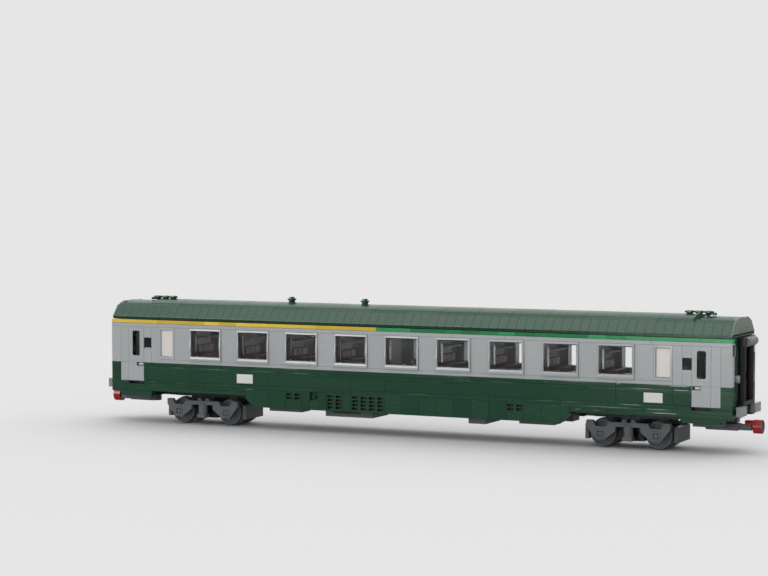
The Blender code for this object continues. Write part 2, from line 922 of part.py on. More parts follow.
def make_bogie(x, name):
    rise = axle_height + centre_block_rise
    half = centre_block_half_width
    shape = block((-centre_block_half, -half, axle_height - centre_block_drop), (centre_block_half, half, rise))
    cut(shape, [rod((sx * centre_hole_x, s * half, axle_height), centre_hole_radius, 2 * centre_hole_depth, "Y",
                    small_sides) for sx in (-1, 1) for s in (-1, 1)])
    block_inner = bogie_half_length + end_block_gap
    block_outer = block_inner + end_block_thickness
    parts = [block((-block_inner - overrun / 2, -spine_half_width, axle_height + spine_rise),
                   (block_inner + overrun / 2, spine_half_width, rise))]
    for sx in (-1, 1):
        x0, x1 = sorted((sx * block_inner, sx * block_outer))
        parts.append(block((x0, -half, axle_height - centre_block_drop), (x1, half, rise)))
        parts.append(make_axle_holder(sx * wheelbase / 2))
    plate_low = axle_height + top_plate_rise
    plate_high = plate_low + top_plate_thickness
    parts.append(block((-bolster_half_length, -half, axle_height + (bar_low + centre_block_rise) / 2),
                       (bolster_half_length, half, plate_low + overrun / 2)))
    pin_y = side_frame_inner_y + side_frame_thickness / 2
    for sx in (-1, 1):
        parts.append(rod((sx * centre_hole_x, 0, axle_height + pin_rise), pin_radius, 2 * pin_y, "Y", small_sides))
    parts.append(block((-top_plate_half, -half, plate_low), (top_plate_half, half, plate_high)))
    table_top = waist - bolster_drop - touch_gap
    parts.append(rod((0, 0, (table_top + plate_low) / 2), turntable_radius, table_top - plate_low, "Z"))
    for s in (-1, 1):
        parts.append(make_side_frame(s))
    weld(shape, parts)
    place(shape, x, 0, 0)
    return name_it(shape, name, dark_grey(), True)


# The cross section of an axle, as (x, z) points round its middle
def cross_outline(x):
    arm = axle_arm_width / 2
    quarter = [(axle_radius, -arm), (axle_radius, arm), (arm, arm)]
    points = []
    for turn in range(4):
        for px, pz in quarter:
            for _ in range(turn):
                px, pz = -pz, px
            points.append((x + px, axle_height + pz))
    return points


# One axle with its two flanged wheels, turned as one body
def make_wheelset(x, name):
    inner = wheel_face_y - wheel_width
    journal = side_frame_outer_y + boss_height / 2
    outline = [
        (0, wheel_face_y),
        (hub_radius, wheel_face_y),
        (hub_radius, wheel_face_y - dish_depth),
        (tread_radius - rim_wall, wheel_face_y - dish_depth),
        (tread_radius - rim_wall, wheel_face_y),
        (tread_radius, wheel_face_y),
        (tread_radius, inner + flange_width),
        (flange_radius, inner + flange_width),
        (flange_radius, inner),
        (0, inner),
    ]
    wheels = [turned([(radius, s * depth) for radius, depth in outline], (x, 0, axle_height), "Y", wheel_sides)
              for s in (-1, 1)]
    shape = side_profile(cross_outline(x), -journal, journal)
    weld(shape, wheels)
    return name_it(shape, name, dark_grey(), True)


# A coupler: an arm that swings on an upright pin and ends in a narrow clip
def make_coupler(sign, name):
    middle = waist - magnet_drop - arm_below_magnet
    low, top = middle - arm_height / 2, middle + arm_height / 2
    end = magnet_face - magnet_length - arm_end_gap
    shape = block((coupler_pin_x, -arm_half_width, low), (end - clip_length, arm_half_width, top))
    pin_top = waist - bolster_drop - touch_gap
    clip = block((end - clip_length - overrun / 2, -clip_half_width, middle - clip_height / 2),
                 (end, clip_half_width, middle + clip_height / 2))
    eye = rod((coupler_pin_x, 0, middle), arm_half_width, top - low, "Z")
    pin = rod((coupler_pin_x, 0, (pin_top + middle) / 2), coupler_pin_radius, pin_top - middle, "Z", small_sides)
    weld(shape, [clip, eye, pin])
    return name_it(at_end(shape, sign), name, dark_grey(), True)


# A round magnet with a sunk steel face, in a holder that lies on the coupler's clip
def make_magnet(sign, name):
    magnet_z = waist - magnet_drop
    clip_top = magnet_z - arm_below_magnet + clip_height / 2
    start = magnet_face - magnet_length
    outline = [
        (0, start),
        (magnet_radius, start),
        (magnet_radius, magnet_face),
        (magnet_radius - magnet_rim, magnet_face),
        (magnet_radius - magnet_rim, magnet_face - magnet_disc_sink),
        (0, magnet_face - magnet_disc_sink),
    ]
    shape = turned(outline, (0, 0, magnet_z), "X")
    holder_low = clip_top + touch_gap
    holder = block((start - holder_length, -holder_half_width, holder_low),
                   (start + overrun, holder_half_width, holder_low + holder_height))
    weld(shape, [holder])
    return name_it(at_end(shape, sign), name, red(), True)


def build_coach():
    remove_everything()
    for side, word in ((-1, "right"), (1, "left")):
        make_lower_side(side, f"lower_side_{word}")
        for sign, end in ((-1, "rear"), (1, "front")):
            make_lower_end(side, sign, f"lower_end_{word}_{end}")
        make_window_band(side, f"window_band_{word}")
        make_panes(side, word)
        make_stripes(side, word)
        for end, x in zip(("rear", "front"), both_ways(door_inner, door_outer)):
            make_door(side, word, end, x)
    make_roof()
    make_underframe()
    for sign, end in ((-1, "rear"), (1, "front")):
        make_end_wall(sign, f"end_wall_{end}")
        make_gangway(sign, f"gangway_{end}")
        make_coupler(sign, f"coupler_{end}")
        make_magnet(sign, f"magnet_{end}")
        make_bogie(sign * bogie_centre, f"bogie_frame_{end}")
        for place_word, offset in (("inner", -1), ("outer", 1)):
            make_wheelset(sign * (bogie_centre + offset * wheelbase / 2), f"wheelset_{end}_{place_word}")
    make_interior(-1, "interior")
    make_interior(1, "interior_front")


build_coach()
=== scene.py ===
import json
import math
import random

import bpy
from mathutils import Matrix, Vector

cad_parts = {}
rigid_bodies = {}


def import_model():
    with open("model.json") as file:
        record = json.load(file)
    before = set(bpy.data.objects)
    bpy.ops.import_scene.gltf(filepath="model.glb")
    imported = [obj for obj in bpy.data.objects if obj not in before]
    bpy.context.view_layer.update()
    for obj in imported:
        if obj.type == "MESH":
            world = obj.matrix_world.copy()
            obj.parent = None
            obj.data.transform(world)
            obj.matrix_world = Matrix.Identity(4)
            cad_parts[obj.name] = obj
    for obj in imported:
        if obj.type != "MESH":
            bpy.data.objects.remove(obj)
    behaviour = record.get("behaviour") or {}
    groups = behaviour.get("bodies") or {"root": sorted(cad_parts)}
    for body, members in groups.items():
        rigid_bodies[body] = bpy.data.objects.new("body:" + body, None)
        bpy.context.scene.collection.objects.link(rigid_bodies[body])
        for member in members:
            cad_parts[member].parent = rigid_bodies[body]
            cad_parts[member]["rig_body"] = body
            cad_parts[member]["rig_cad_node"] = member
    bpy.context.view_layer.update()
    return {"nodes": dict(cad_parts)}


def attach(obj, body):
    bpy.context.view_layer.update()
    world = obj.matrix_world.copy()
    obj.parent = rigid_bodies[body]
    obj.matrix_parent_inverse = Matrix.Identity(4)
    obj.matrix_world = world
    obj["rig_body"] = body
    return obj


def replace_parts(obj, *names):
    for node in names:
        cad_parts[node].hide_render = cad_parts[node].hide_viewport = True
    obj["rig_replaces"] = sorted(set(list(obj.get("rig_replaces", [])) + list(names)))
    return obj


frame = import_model()

# The studio: a wide pale floor that runs out of sight into a pale backdrop, lit by a soft white dome.
# The plastic's gloss mirrors a dimmer sky with its light in the ceiling, and a darker floor.
# The ramps run between directions, each given as its cosine to the axis named.
backdrop_white = 0.7913
dome_strength, right_strength, high_behind_strength = 1.36, 0.68, 0.90
mirrored_ceiling, mirrored_behind = 1.80, 0.75
mirrored_horizon, mirrored_zenith = 0.22, 0.38
floor_albedo, mirrored_floor_albedo = 0.505, 0.15
floor_size = 60.0


def node_in(tree, kind, **settings):
    node = tree.nodes.new(kind)
    for key, value in settings.items():
        setattr(node, key, value)
    return node


def join_up(tree, source, target):
    tree.links.new(source, target)


def maths(tree, operation, first, second, third=None):
    node = node_in(tree, "ShaderNodeMath", operation=operation)
    for socket, value in zip(node.inputs, (first, second, third)):
        if isinstance(value, (int, float)):
            socket.default_value = value
        elif value is not None:
            join_up(tree, value, socket)
    return node.outputs[0]


def ramp_between(tree, value, start, end, low=0.0, high=1.0):
    node = node_in(tree, "ShaderNodeMapRange", interpolation_type="SMOOTHSTEP")
    join_up(tree, value, node.inputs["Value"])
    for key, number in (("From Min", start), ("From Max", end), ("To Min", low), ("To Max", high)):
        node.inputs[key].default_value = number
    return node.outputs["Result"]


def neutral(level):
    return (level, level, level, 1.0)


# Shows the first shader where the factor is 0 and the second where it is 1
def show_either(tree, factor, first, second, output_kind):
    either = node_in(tree, "ShaderNodeMixShader")
    for source, target in zip((factor, first.outputs[0], second.outputs[0]), either.inputs):
        join_up(tree, source, target)
    join_up(tree, either.outputs[0], node_in(tree, output_kind).inputs["Surface"])


def light_the_studio():
    studio = bpy.data.worlds.new("studio_dome")
    studio.use_nodes = True
    tree = studio.node_tree
    tree.nodes.clear()
    split = node_in(tree, "ShaderNodeSeparateXYZ")
    join_up(tree, node_in(tree, "ShaderNodeTexCoord").outputs["Generated"], split.inputs[0])
    to_front, to_far_side, up = (split.outputs[axis] for axis in "XYZ")
    rays = node_in(tree, "ShaderNodeLightPath").outputs
    ceiling = ramp_between(tree, up, 0.70, 0.92, 0.0, mirrored_ceiling)
    behind = maths(tree, "MULTIPLY", ramp_between(tree, to_far_side, -0.20, 0.60, 0.0, mirrored_behind),
                   ramp_between(tree, to_front, -0.10, 0.15, 1.0, 0.0))
    low_sky = ramp_between(tree, up, 0.15, 0.70, 1.0, 0.10)
    in_front = ramp_between(tree, up, 0.00, 0.60, mirrored_horizon, mirrored_zenith)
    mirrored = maths(tree, "ADD", maths(tree, "MULTIPLY_ADD", behind, low_sky, in_front), ceiling)
    high_behind = maths(tree, "MULTIPLY", ramp_between(tree, to_far_side, -0.20, 0.50),
                        ramp_between(tree, up, 0.10, 0.50, 0.0, high_behind_strength))
    from_right = ramp_between(tree, to_front, 0.20, 0.90, dome_strength, right_strength)
    level = node_in(tree, "ShaderNodeMix", data_type="FLOAT")
    join_up(tree, rays["Is Glossy Ray"], level.inputs["Factor"])
    join_up(tree, maths(tree, "ADD", high_behind, from_right), level.inputs["A"])
    join_up(tree, mirrored, level.inputs["B"])
    dome = node_in(tree, "ShaderNodeBackground")
    dome.inputs["Color"].default_value = neutral(1.0)
    join_up(tree, level.outputs["Result"], dome.inputs["Strength"])
    seen = node_in(tree, "ShaderNodeBackground")
    seen.inputs["Color"].default_value = neutral(backdrop_white)
    straight = maths(tree, "MAXIMUM", rays["Is Camera Ray"], rays["Is Transmission Ray"])
    show_either(tree, straight, dome, seen, "ShaderNodeOutputWorld")
    bpy.context.scene.world = studio


def bare_material(name):
    made = bpy.data.materials.new(name)
    made.use_nodes = True
    made.node_tree.nodes.clear()
    return made


def lay_the_floor():
    bpy.ops.object.select_all(action="DESELECT")
    bpy.ops.mesh.primitive_plane_add(size=floor_size, location=(0, 0, 0))
    floor = bpy.context.object
    floor.name = "studio_floor"
    pale = bare_material("matte_floor")
    tree = pale.node_tree
    rays = node_in(tree, "ShaderNodeLightPath").outputs
    shade = node_in(tree, "ShaderNodeMix", data_type="RGBA")
    shade.inputs["A"].default_value = neutral(floor_albedo)
    shade.inputs["B"].default_value = neutral(mirrored_floor_albedo)
    mirrored_only = maths(tree, "SUBTRACT", rays["Is Glossy Ray"], rays["Is Transmission Ray"])
    join_up(tree, maths(tree, "MAXIMUM", mirrored_only, 0.0), shade.inputs["Factor"])
    matte = node_in(tree, "ShaderNodeBsdfDiffuse")
    join_up(tree, shade.outputs["Result"], matte.inputs["Color"])
    join_up(tree, matte.outputs[0], node_in(tree, "ShaderNodeOutputMaterial").inputs["Surface"])
    floor.data.materials.append(pale)


# A white card that stands out of sight and is seen only in the gloss of the plastic
def gloss_card(name, right_foot, left_foot, low, high, strength):
    right, left = Vector((*right_foot, low)), Vector((*left_foot, low))
    bpy.ops.object.select_all(action="DESELECT")
    bpy.ops.mesh.primitive_plane_add(size=1.0)
    card = bpy.context.object
    card.name = name
    upright = Vector((0, 0, 1))
    along = (right - left).normalized()
    matrix = Matrix((along, upright, along.cross(upright))).transposed().to_4x4()
    matrix.translation = (left + right) / 2 + Vector((0, 0, (high - low) / 2))
    card.data.transform(matrix @ Matrix.Diagonal(((right - left).length, high - low, 1, 1)))
    look = bare_material(name)
    tree = look.node_tree
    brightness = node_in(tree, "ShaderNodeEmission")
    brightness.inputs["Strength"].default_value = strength
    in_gloss = node_in(tree, "ShaderNodeLightPath").outputs["Is Glossy Ray"]
    show_either(tree, in_gloss, node_in(tree, "ShaderNodeBsdfTransparent"), brightness, "ShaderNodeOutputMaterial")
    card.data.materials.append(look)


light_the_studio()
lay_the_floor()
gloss_card("low_card", (-1.58, -1.36), (-2.10, -0.90), 0.0, 0.34, 11.0)
gloss_card("high_card", (-0.80, -1.85), (-1.75, -1.32), 0.45, 1.75, 10.0)
gloss_card("front_card", (0.16, -1.43), (-0.26, -1.41), 0.03, 0.50, 10.0)
gloss_card("wide_card", (-0.30, -2.03), (-1.65, -2.03), 0.33, 0.62, 5.5)

# The camera stands low in front of the right side, at the photo's angle, with a long lens
eye = bpy.data.cameras.new("camera")
eye.sensor_width = 36.0
eye.lens = 103.30
eye.clip_start = 0.01
eye.clip_end = 200.0
camera = bpy.data.objects.new("camera", eye)
bpy.context.scene.collection.objects.link(camera)
camera.location = (0.79523, -1.71710, 0.22442)
camera.rotation_euler = (math.radians(87.022), 0.0, math.radians(25.717))
bpy.context.scene.camera = camera
bpy.context.scene.view_settings.view_transform = "Standard"

# The green lower sides: plates, bricks and tiles of dark green moulded plastic, clutched row on row.
# Each piece stands a hair proud or back of its neighbours, so its rounded edges catch the light.
# Heights on the sides are counted in plates from the waist, and lengths in studs from the middle.
stud, plate = 0.008, 0.0032
waist = 0.0548
half_width, wall_depth = 0.032, 0.008
half_side = 0.2896
outer, inner = -half_width, -half_width + wall_depth
door_low, door_high, door_end = 32 * stud, 34 * stud, 35 * stud
row_base, box_base, door_base, slots_top = -6.1, -11, -5.2, -6.55
seam = 0.00006
flat, proud_little, proud_much = 0.00003, 0.00005, 0.00009
post_lean, band_lean = 0.04, 0.06
sliver = 1e-6
# A face counts as square on to an axis when its normal's share along it is over this
square_on = 0.9
# Bevels' widths, then the angles that smoothing and bevels leave sharp or pass over
tiny_round, fine_round, block_round = 0.00008, 0.00010, 0.00020
flat_angle, step_angle = 12.0, 50.0
dark_green = (0.0100, 0.0520, 0.0265)
light_grey = (0.345, 0.364, 0.371)
lot = random.Random(41)


def noise_in(tree, place, scale, detail=2.0, roughness=0.5):
    node = node_in(tree, "ShaderNodeTexNoise")
    node.inputs["Scale"].default_value = scale
    node.inputs["Detail"].default_value = detail
    node.inputs["Roughness"].default_value = roughness
    join_up(tree, place, node.inputs["Vector"])
    return node.outputs["Fac"]


# Moulded plastic: each piece its own faint shade, clouding from the melt, fine handling scuffs
def moulded_plastic():
    group = bpy.data.node_groups.new("moulded_plastic", "ShaderNodeTree")
    group.interface.new_socket(name="Colour", in_out="INPUT", socket_type="NodeSocketColor")
    for name, value in (("Gloss", 0.22), ("Variation", 0.10), ("Scuffs", 0.10)):
        made = group.interface.new_socket(name=name, in_out="INPUT", socket_type="NodeSocketFloat")
        made.default_value = value
    for name, kind in (("Colour", "Color"), ("Roughness", "Float"), ("Height", "Float")):
        group.interface.new_socket(name=name, in_out="OUTPUT", socket_type="NodeSocket" + kind)
    given = node_in(group, "NodeGroupInput").outputs
    out = node_in(group, "NodeGroupOutput").inputs
    place = node_in(group, "ShaderNodeTexCoord").outputs["Object"]
    own = node_in(group, "ShaderNodeAttribute", attribute_name="piece_shade").outputs["Fac"]
    own_shift = maths(group, "SUBTRACT", own, 0.5)
    cloud = noise_in(group, place, 45.0, 3.0)
    grain = noise_in(group, place, 1300.0, 2.0)
    wave = noise_in(group, place, 110.0, 1.0)
    stretch = node_in(group, "ShaderNodeMapping")
    stretch.inputs["Scale"].default_value = (160.0, 700.0, 700.0)
    join_up(group, place, stretch.inputs["Vector"])
    scuffed = ramp_between(group, noise_in(group, stretch.outputs[0], 1.0, 4.0, 0.7), 0.56, 0.72)
    uneven = maths(group, "ADD", own_shift, maths(group, "SUBTRACT", cloud, 0.5))
    tint = node_in(group, "ShaderNodeVectorMath", operation="SCALE")
    join_up(group, given["Colour"], tint.inputs[0])
    join_up(group, maths(group, "MULTIPLY_ADD", uneven, given["Variation"], 1.0), tint.inputs["Scale"])
    worn = node_in(group, "ShaderNodeMix", data_type="RGBA")
    worn.inputs["B"].default_value = neutral(0.42)
    join_up(group, tint.outputs[0], worn.inputs["A"])
    amount = maths(group, "MULTIPLY", scuffed, maths(group, "MULTIPLY", given["Scuffs"], 0.12))
    join_up(group, amount, worn.inputs["Factor"])
    join_up(group, worn.outputs["Result"], out["Colour"])
    rough = maths(group, "MULTIPLY_ADD", scuffed, given["Scuffs"], given["Gloss"])
    join_up(group, maths(group, "MULTIPLY_ADD", own_shift, 0.10, rough), out["Roughness"])
    join_up(group, maths(group, "MULTIPLY_ADD", grain, 0.05, wave), out["Height"])
    return group


finish = moulded_plastic()


def plastic(name, colour, gloss=0.20, variation=0.10, scuffs=0.10, bump=0.16):
    made = bpy.data.materials.new(name)
    made.use_nodes = True
    tree = made.node_tree
    shader = tree.nodes["Principled BSDF"]
    surface = node_in(tree, "ShaderNodeGroup", node_tree=finish)
    surface.inputs["Colour"].default_value = (*colour, 1.0)
    surface.inputs["Gloss"].default_value = gloss
    surface.inputs["Variation"].default_value = variation
    surface.inputs["Scuffs"].default_value = scuffs
    relief = node_in(tree, "ShaderNodeBump")
    relief.inputs["Strength"].default_value = bump
    relief.inputs["Distance"].default_value = 0.0004
    join_up(tree, surface.outputs["Colour"], shader.inputs["Base Color"])
    join_up(tree, surface.outputs["Roughness"], shader.inputs["Roughness"])
    join_up(tree, surface.outputs["Height"], relief.inputs["Height"])
    join_up(tree, relief.outputs["Normal"], shader.inputs["Normal"])
    return made


green_plastic = plastic("dark_green_plastic", dark_green, 0.20, 0.16)
# Black plastic for the black parts, and also painted shade in slots, reveals, recesses and gaps
black_plastic = plastic("black_plastic", (0.012, 0.012, 0.013), 0.30, 0.2)


def make_active(piece):
    bpy.ops.object.select_all(action="DESELECT")
    piece.select_set(True)
    bpy.context.view_layer.objects.active = piece


def done():
    bpy.ops.object.mode_set(mode="OBJECT")


def start_cube(low, high, look):
    bpy.ops.object.select_all(action="DESELECT")
    centre = [(a + b) / 2 for a, b in zip(low, high)]
    bpy.ops.mesh.primitive_cube_add(size=1.0, location=centre)
    piece = bpy.context.object
    piece.scale = [abs(b - a) for a, b in zip(low, high)]
    bpy.ops.object.transform_apply(location=True, rotation=False, scale=True)
    piece.data.materials.append(look)
    return piece


# A round rod between two points that lie along one of the axes
def rod(start, end, radius, look, sides=24, axis="Z"):
    start, end = Vector(start), Vector(end)
    turn = {"X": (0, math.pi / 2, 0), "Y": (math.pi / 2, 0, 0), "Z": (0, 0, 0)}[axis]
    bpy.ops.object.select_all(action="DESELECT")
    bpy.ops.mesh.primitive_cylinder_add(vertices=sides, radius=radius, depth=(end - start).length,
                                        location=(start + end) / 2, rotation=turn)
    piece = bpy.context.object
    bpy.ops.object.transform_apply(location=True, rotation=True, scale=True)
    piece.data.materials.append(look)
    return piece


# Leaves the piece in edit mode with the chosen faces, edges or points selected
def pick(piece, kind, test):
    make_active(piece)
    bpy.ops.object.mode_set(mode="EDIT")
    bpy.ops.mesh.select_mode(type=kind)
    bpy.ops.mesh.select_all(action="DESELECT")
    bpy.ops.object.mode_set(mode="OBJECT")
    parts = {"FACE": piece.data.polygons, "EDGE": piece.data.edges, "VERT": piece.data.vertices}[kind]
    for part in parts:
        part.select = test(part)
    bpy.ops.object.mode_set(mode="EDIT")


def pick_faces(piece, test):
    pick(piece, "FACE", lambda face: test(face.center, face.normal))


def pick_points(piece, test):
    pick(piece, "VERT", lambda point: test(point.co))


def shift_points(piece, move, test):
    pick_points(piece, test)
    bpy.ops.transform.translate(value=move)
    done()


# Extrudes the selected faces in edit mode
def draw_out(x=0, y=0, z=0):
    bpy.ops.mesh.extrude_region_move(TRANSFORM_OT_translate={"value": (x, y, z)})


# Cuts the whole skin of a piece where a plane square to one axis crosses it
def cut_across(piece, axis, place):
    pick_faces(piece, lambda c, n: True)
    normal = [float(name == axis) for name in "XYZ"]
    bpy.ops.mesh.bisect(plane_co=[place * share for share in normal], plane_no=normal)
    done()


# Insets the face or faces that look one way and moves them in or out
def sink_face(piece, rim, move, test=lambda c, n: n.y < -square_on):
    pick_faces(piece, test)
    bpy.ops.mesh.inset(thickness=rim)
    bpy.ops.transform.translate(value=move)
    done()


# Rounds the sharp edges of a shaped piece with a bevel that is applied
def soften(piece, amount, steps=2, angle=30.0):
    make_active(piece)
    step = piece.modifiers.new("rounding", "BEVEL")
    step.width = amount
    step.segments = steps
    step.limit_method = "ANGLE"
    step.angle_limit = math.radians(angle)
    bpy.ops.object.modifier_apply(modifier=step.name)
    return piece


def smooth(piece, angle=38.0):
    make_active(piece)
    bpy.ops.object.shade_smooth_by_angle(angle=math.radians(angle))
    return piece


# A piece's own random tone, or a given value; the ribs' given values are painted light
def give_shade(piece, value=None):
    if "piece_shade" in piece.data.attributes:
        piece.data.attributes.remove(piece.data.attributes["piece_shade"])
    made = piece.data.attributes.new("piece_shade", "FLOAT", "POINT")
    tone = lot.random() if value is None else value
    made.data.foreach_set("value", [tone] * len(piece.data.vertices))
    return piece


# A copy with its own mesh
def twin_of(piece):
    twin = piece.copy()
    twin.data = piece.data.copy()
    bpy.context.scene.collection.objects.link(twin)
    twin.hide_render = False
    return twin


# A copy moved and turned, with its own shade
def copy_of(master, offset=(0, 0, 0), turn=Matrix.Identity(4)):
    twin = twin_of(master)
    twin.data.transform(Matrix.Translation(offset) @ turn)
    return give_shade(twin)


half_turn = Matrix.Rotation(math.pi, 4, "Z")
rim_width, rim_fall, rim_step = 0.0008, 0.00014, 0.0002
rim_shares = (None, (0.04, 0.34), (0.30, 0.66), (0.60, 0.94), (0.10, 0.85))
rim_fade_share = 0.25
masters = {}


# Draws a stretch of a brick's top edge back a little, fading at both ends, so that it glints
def draw_rim(piece, stretch):
    points = [point.co.copy() for point in piece.data.vertices]
    low_x, high_x = min(p.x for p in points), max(p.x for p in points)
    top, face = max(p.z for p in points), min(p.y for p in points)
    start, stop = (low_x + share * (high_x - low_x) for share in stretch)
    fade = rim_fade_share * (stop - start)
    for height in (top - rim_width, top - rim_width - rim_step):
        cut_across(piece, "Z", height)
    for x in (start, start + fade, stop - fade, stop):
        cut_across(piece, "X", x)
    shift_points(piece, (0, rim_fall, 0), lambda p: p.y < face + sliver and p.z > top - sliver
                 and start + fade / 2 < p.x < stop - fade / 2)


# A rounded brick between two corners, copied from one master of its size
def brick(low, high, look=green_plastic, proud=0.00004, lean=0.10, rounding=fine_round):
    size = tuple(round(b - a - 2 * seam, 6) for a, b in zip(low, high))
    stretch = lot.choice(rim_shares) if look is green_plastic and proud > proud_little else None
    key = (size, look.name, rounding, stretch)
    if key not in masters:
        half = [s / 2 for s in size]
        master = start_cube([-h for h in half], half, look)
        if stretch:
            draw_rim(master, stretch)
        masters[key] = smooth(soften(master, rounding, 1), flat_angle)
        master.hide_render = True
    centre = Vector([(a + b) / 2 for a, b in zip(low, high)])
    centre.y += lot.uniform(-proud, proud)
    turn = Matrix.Rotation(math.radians(lot.uniform(-lean, lean)), 4, "X")
    turn = turn @ Matrix.Rotation(math.radians(lot.uniform(-lean, lean) / 4), 4, "Z")
    return copy_of(masters[key], centre, turn)


# A brick of the right wall
def wall_brick(x0, x1, low, high, look=green_plastic, proud=0.00004, lean=0.10, rounding=fine_round):
    return brick((x0, outer, waist + low * plate), (x1, inner, waist + high * plate), look, proud, lean,
                 rounding)


# Two places at the same distances from the middle, on the side that the sign says
def span(sign, near, far):
    return sorted((sign * near, sign * far))


def row_of(start, end, low, high, lengths, look=green_plastic, proud=0.00004):
    parts = []
    x = start
    while x < end - sliver:
        stop = min(x + lot.choice(lengths) * stud, end)
        if end - stop < 1.5 * stud:
            stop = end
        parts.append(wall_brick(x, stop, low, high, look, proud))
        x = stop
    return parts


def assemble(parts, name, body="coach_body", stands_for=()):
    bpy.ops.object.select_all(action="DESELECT")
    for part in parts:
        part.select_set(True)
        if "piece_shade" not in part.data.attributes:
            give_shade(part)
    bpy.context.view_layer.objects.active = parts[0]
    if len(parts) > 1:
        bpy.ops.object.join()
    piece = bpy.context.view_layer.objects.active
    piece.name = name
    piece.data.name = name
    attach(piece, body)
    if stands_for:
        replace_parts(piece, *stands_for)
    return piece


def opposite(name):
    swaps = {"right": "left", "front": "rear", "rear": "front"}
    return "_".join(swaps.get(word, word) for word in name.split("_"))


# A piece and the same one turned half round about the upright axis, for the other side or the other end
def assemble_pair(parts, name, stands_for=()):
    piece = assemble(parts, name, "coach_body", stands_for)
    twin = twin_of(piece)
    twin.parent = None
    twin.matrix_world = Matrix.Identity(4)
    twin.data.transform(half_turn)
    if "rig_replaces" in twin:
        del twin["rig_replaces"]
    assemble([twin], opposite(name), "coach_body", [opposite(node) for node in stands_for])


# Gives the chosen faces a second material
def paint(piece, look, test):
    piece.data.materials.append(look)
    for face in piece.data.polygons:
        if test(face.center, face.normal):
            face.material_index = 1


slot_width, slot_lip, slot_depth, slot_edge, slot_back = 0.0062, 0.0005, 0.0024, 0.0006, 0.0026
slot_centre_share, centre_margin_share = 0.5, 0.1
box_gap = 0.0003


# A tile with rows of slots sunk in its outer face, their walls and floors painted black as painted shade
def grille_tile(x, columns, rows):
    width = columns * stud
    piece = start_cube((x + box_gap, outer, waist + box_base * plate + seam),
                       (x + width - seam, inner, waist + row_base * plate - seam), green_plastic)
    for column in range(columns):
        for side in (-1, 1):
            cut_across(piece, "X", x + (column + slot_centre_share) * stud + side * slot_width / 2)
    for row in range(rows + 1):
        cut_across(piece, "Z", waist + slots_top * plate - row * plate)
    low, high = waist + (slots_top - rows) * plate, waist + slots_top * plate

    def in_column(c):
        return abs((c.x - x) / stud % 1.0 - slot_centre_share) < centre_margin_share

    pick_faces(piece, lambda c, n: n.y < -square_on and low < c.z < high and in_column(c))
    bpy.ops.mesh.inset(thickness=slot_lip, depth=0.0, use_individual=True)
    draw_out(y=slot_depth)
    done()
    # The slots' walls and floors are painted black: painted shade in the slots
    paint(piece, black_plastic, lambda c, n: low < c.z < high and slot_edge < c.y - outer < slot_back
          and abs(c.x - x - width / 2) < width / 2 - slot_edge)
    return give_shade(soften(piece, tiny_round, 1, step_angle))


# Groups of rows: the stretches that they run along, then each row's low and high edge, the lengths
# of its pieces in studs and how far they may stand proud
beside_doors = ((-half_side, -door_end), (-door_low, door_low), (door_end, half_side))
beside_steps = ((-half_side, -door_high), (-door_low, door_low), (door_high, half_side))
over_bogies = ((-half_side, -19 * stud), (19 * stud, half_side))
row_groups = (
    (beside_doors, ((-1, 0, (2, 4, 6, 8, 10), proud_much), (-2, -1, (3, 4, 6, 8, 12), proud_much),
                    (-5, -2, (4, 6, 8, 10), flat))),
    (over_bogies, ((-8, -7, (2, 4, 6, 8), proud_much), (-7, row_base, (3, 4, 6, 8), proud_much))),
    (beside_steps, ((row_base, door_base, (2, 4, 6, 8, 10), proud_much),)),
    (beside_doors, ((door_base, -5, (6, 8), 0.00002),)))
step_top, step_base, step_end_base = -8, -9.4, -8.3
box_lean, slant_rise, slant_reach, skirt_round, at_end = 0.05, 2.5 * plate, 10 * plate, 0.00022, 0.0001
grilles = ((-14, 2, 2), (-9, 2, 4), (-6, 4, 4), (12, 2, 2))
plain_box_runs = ((-18, -16, -14), (-12, -11), (-10, -9), (-7, -6), range(-2, 13, 2), (14, 16, 18))


def lower_side_parts():
    parts = []
    for stretches, rows in row_groups:
        for start, end in stretches:
            for low, high, lengths, proud in rows:
                parts += row_of(start, end, low, high, lengths, proud=proud)
    for sign in (-1, 1):
        parts.append(wall_brick(*span(sign, 31 * stud, door_end), step_base, step_top))
        parts.append(wall_brick(*span(sign, door_end, half_side), step_end_base, step_top))
    for x, columns, rows in grilles:
        parts.append(grille_tile(x * stud, columns, rows))
    for run in plain_box_runs:
        for x0, x1 in zip(run, run[1:]):
            parts.append(wall_brick(x0 * stud, x1 * stud, box_base, row_base, proud=flat, lean=box_lean))
    return parts


# The last box of the skirt, its foot cut off at a slant
def chamfered_end(sign):
    x0, x1 = span(sign, 18 * stud, 19 * stud)
    piece = start_cube((x0 + seam, outer, waist + box_base * plate),
                       (x1 - seam, inner, waist + row_base * plate), green_plastic)
    far = x1 - seam if sign > 0 else x0 + seam
    shift_points(piece, (0, 0, slant_rise), lambda p: abs(p.x - far) < at_end and p.z < waist - slant_reach)
    return give_shade(soften(piece, skirt_round))


# The bay with the filler: a recess between thin cheeks, with a round cap in it
def filler_parts():
    x0, x1 = -11 * stud, -10 * stud
    sill, head, depth = -8.4, row_base, 0.003
    thin_cheek, thick_cheek = 0.0003, 0.0007
    cap_x, cap_z = (x0 + x1) / 2, waist - 7.3 * plate
    cap_radius, cap_front, cap_back, cap_rim, cap_sink = 0.0016, 0.0001, 0.0031, 0.0005, 0.0007
    parts = [wall_brick(x0, x1, box_base, sill),
             brick((x0, outer + depth, waist + sill * plate), (x1, inner, waist + head * plate)),
             wall_brick(x0, x0 + thin_cheek, sill, head, rounding=0.00005),
             wall_brick(x1 - thick_cheek, x1, sill, head, rounding=tiny_round)]
    cap = rod((cap_x, outer + cap_front, cap_z), (cap_x, outer + cap_back, cap_z), cap_radius, green_plastic,
              20, "Y")
    pick_faces(cap, lambda c, n: n.y < -square_on)
    bpy.ops.mesh.inset(thickness=cap_rim)
    draw_out(y=cap_sink)
    done()
    parts.append(give_shade(smooth(soften(cap, 0.00015, 1))))
    return parts


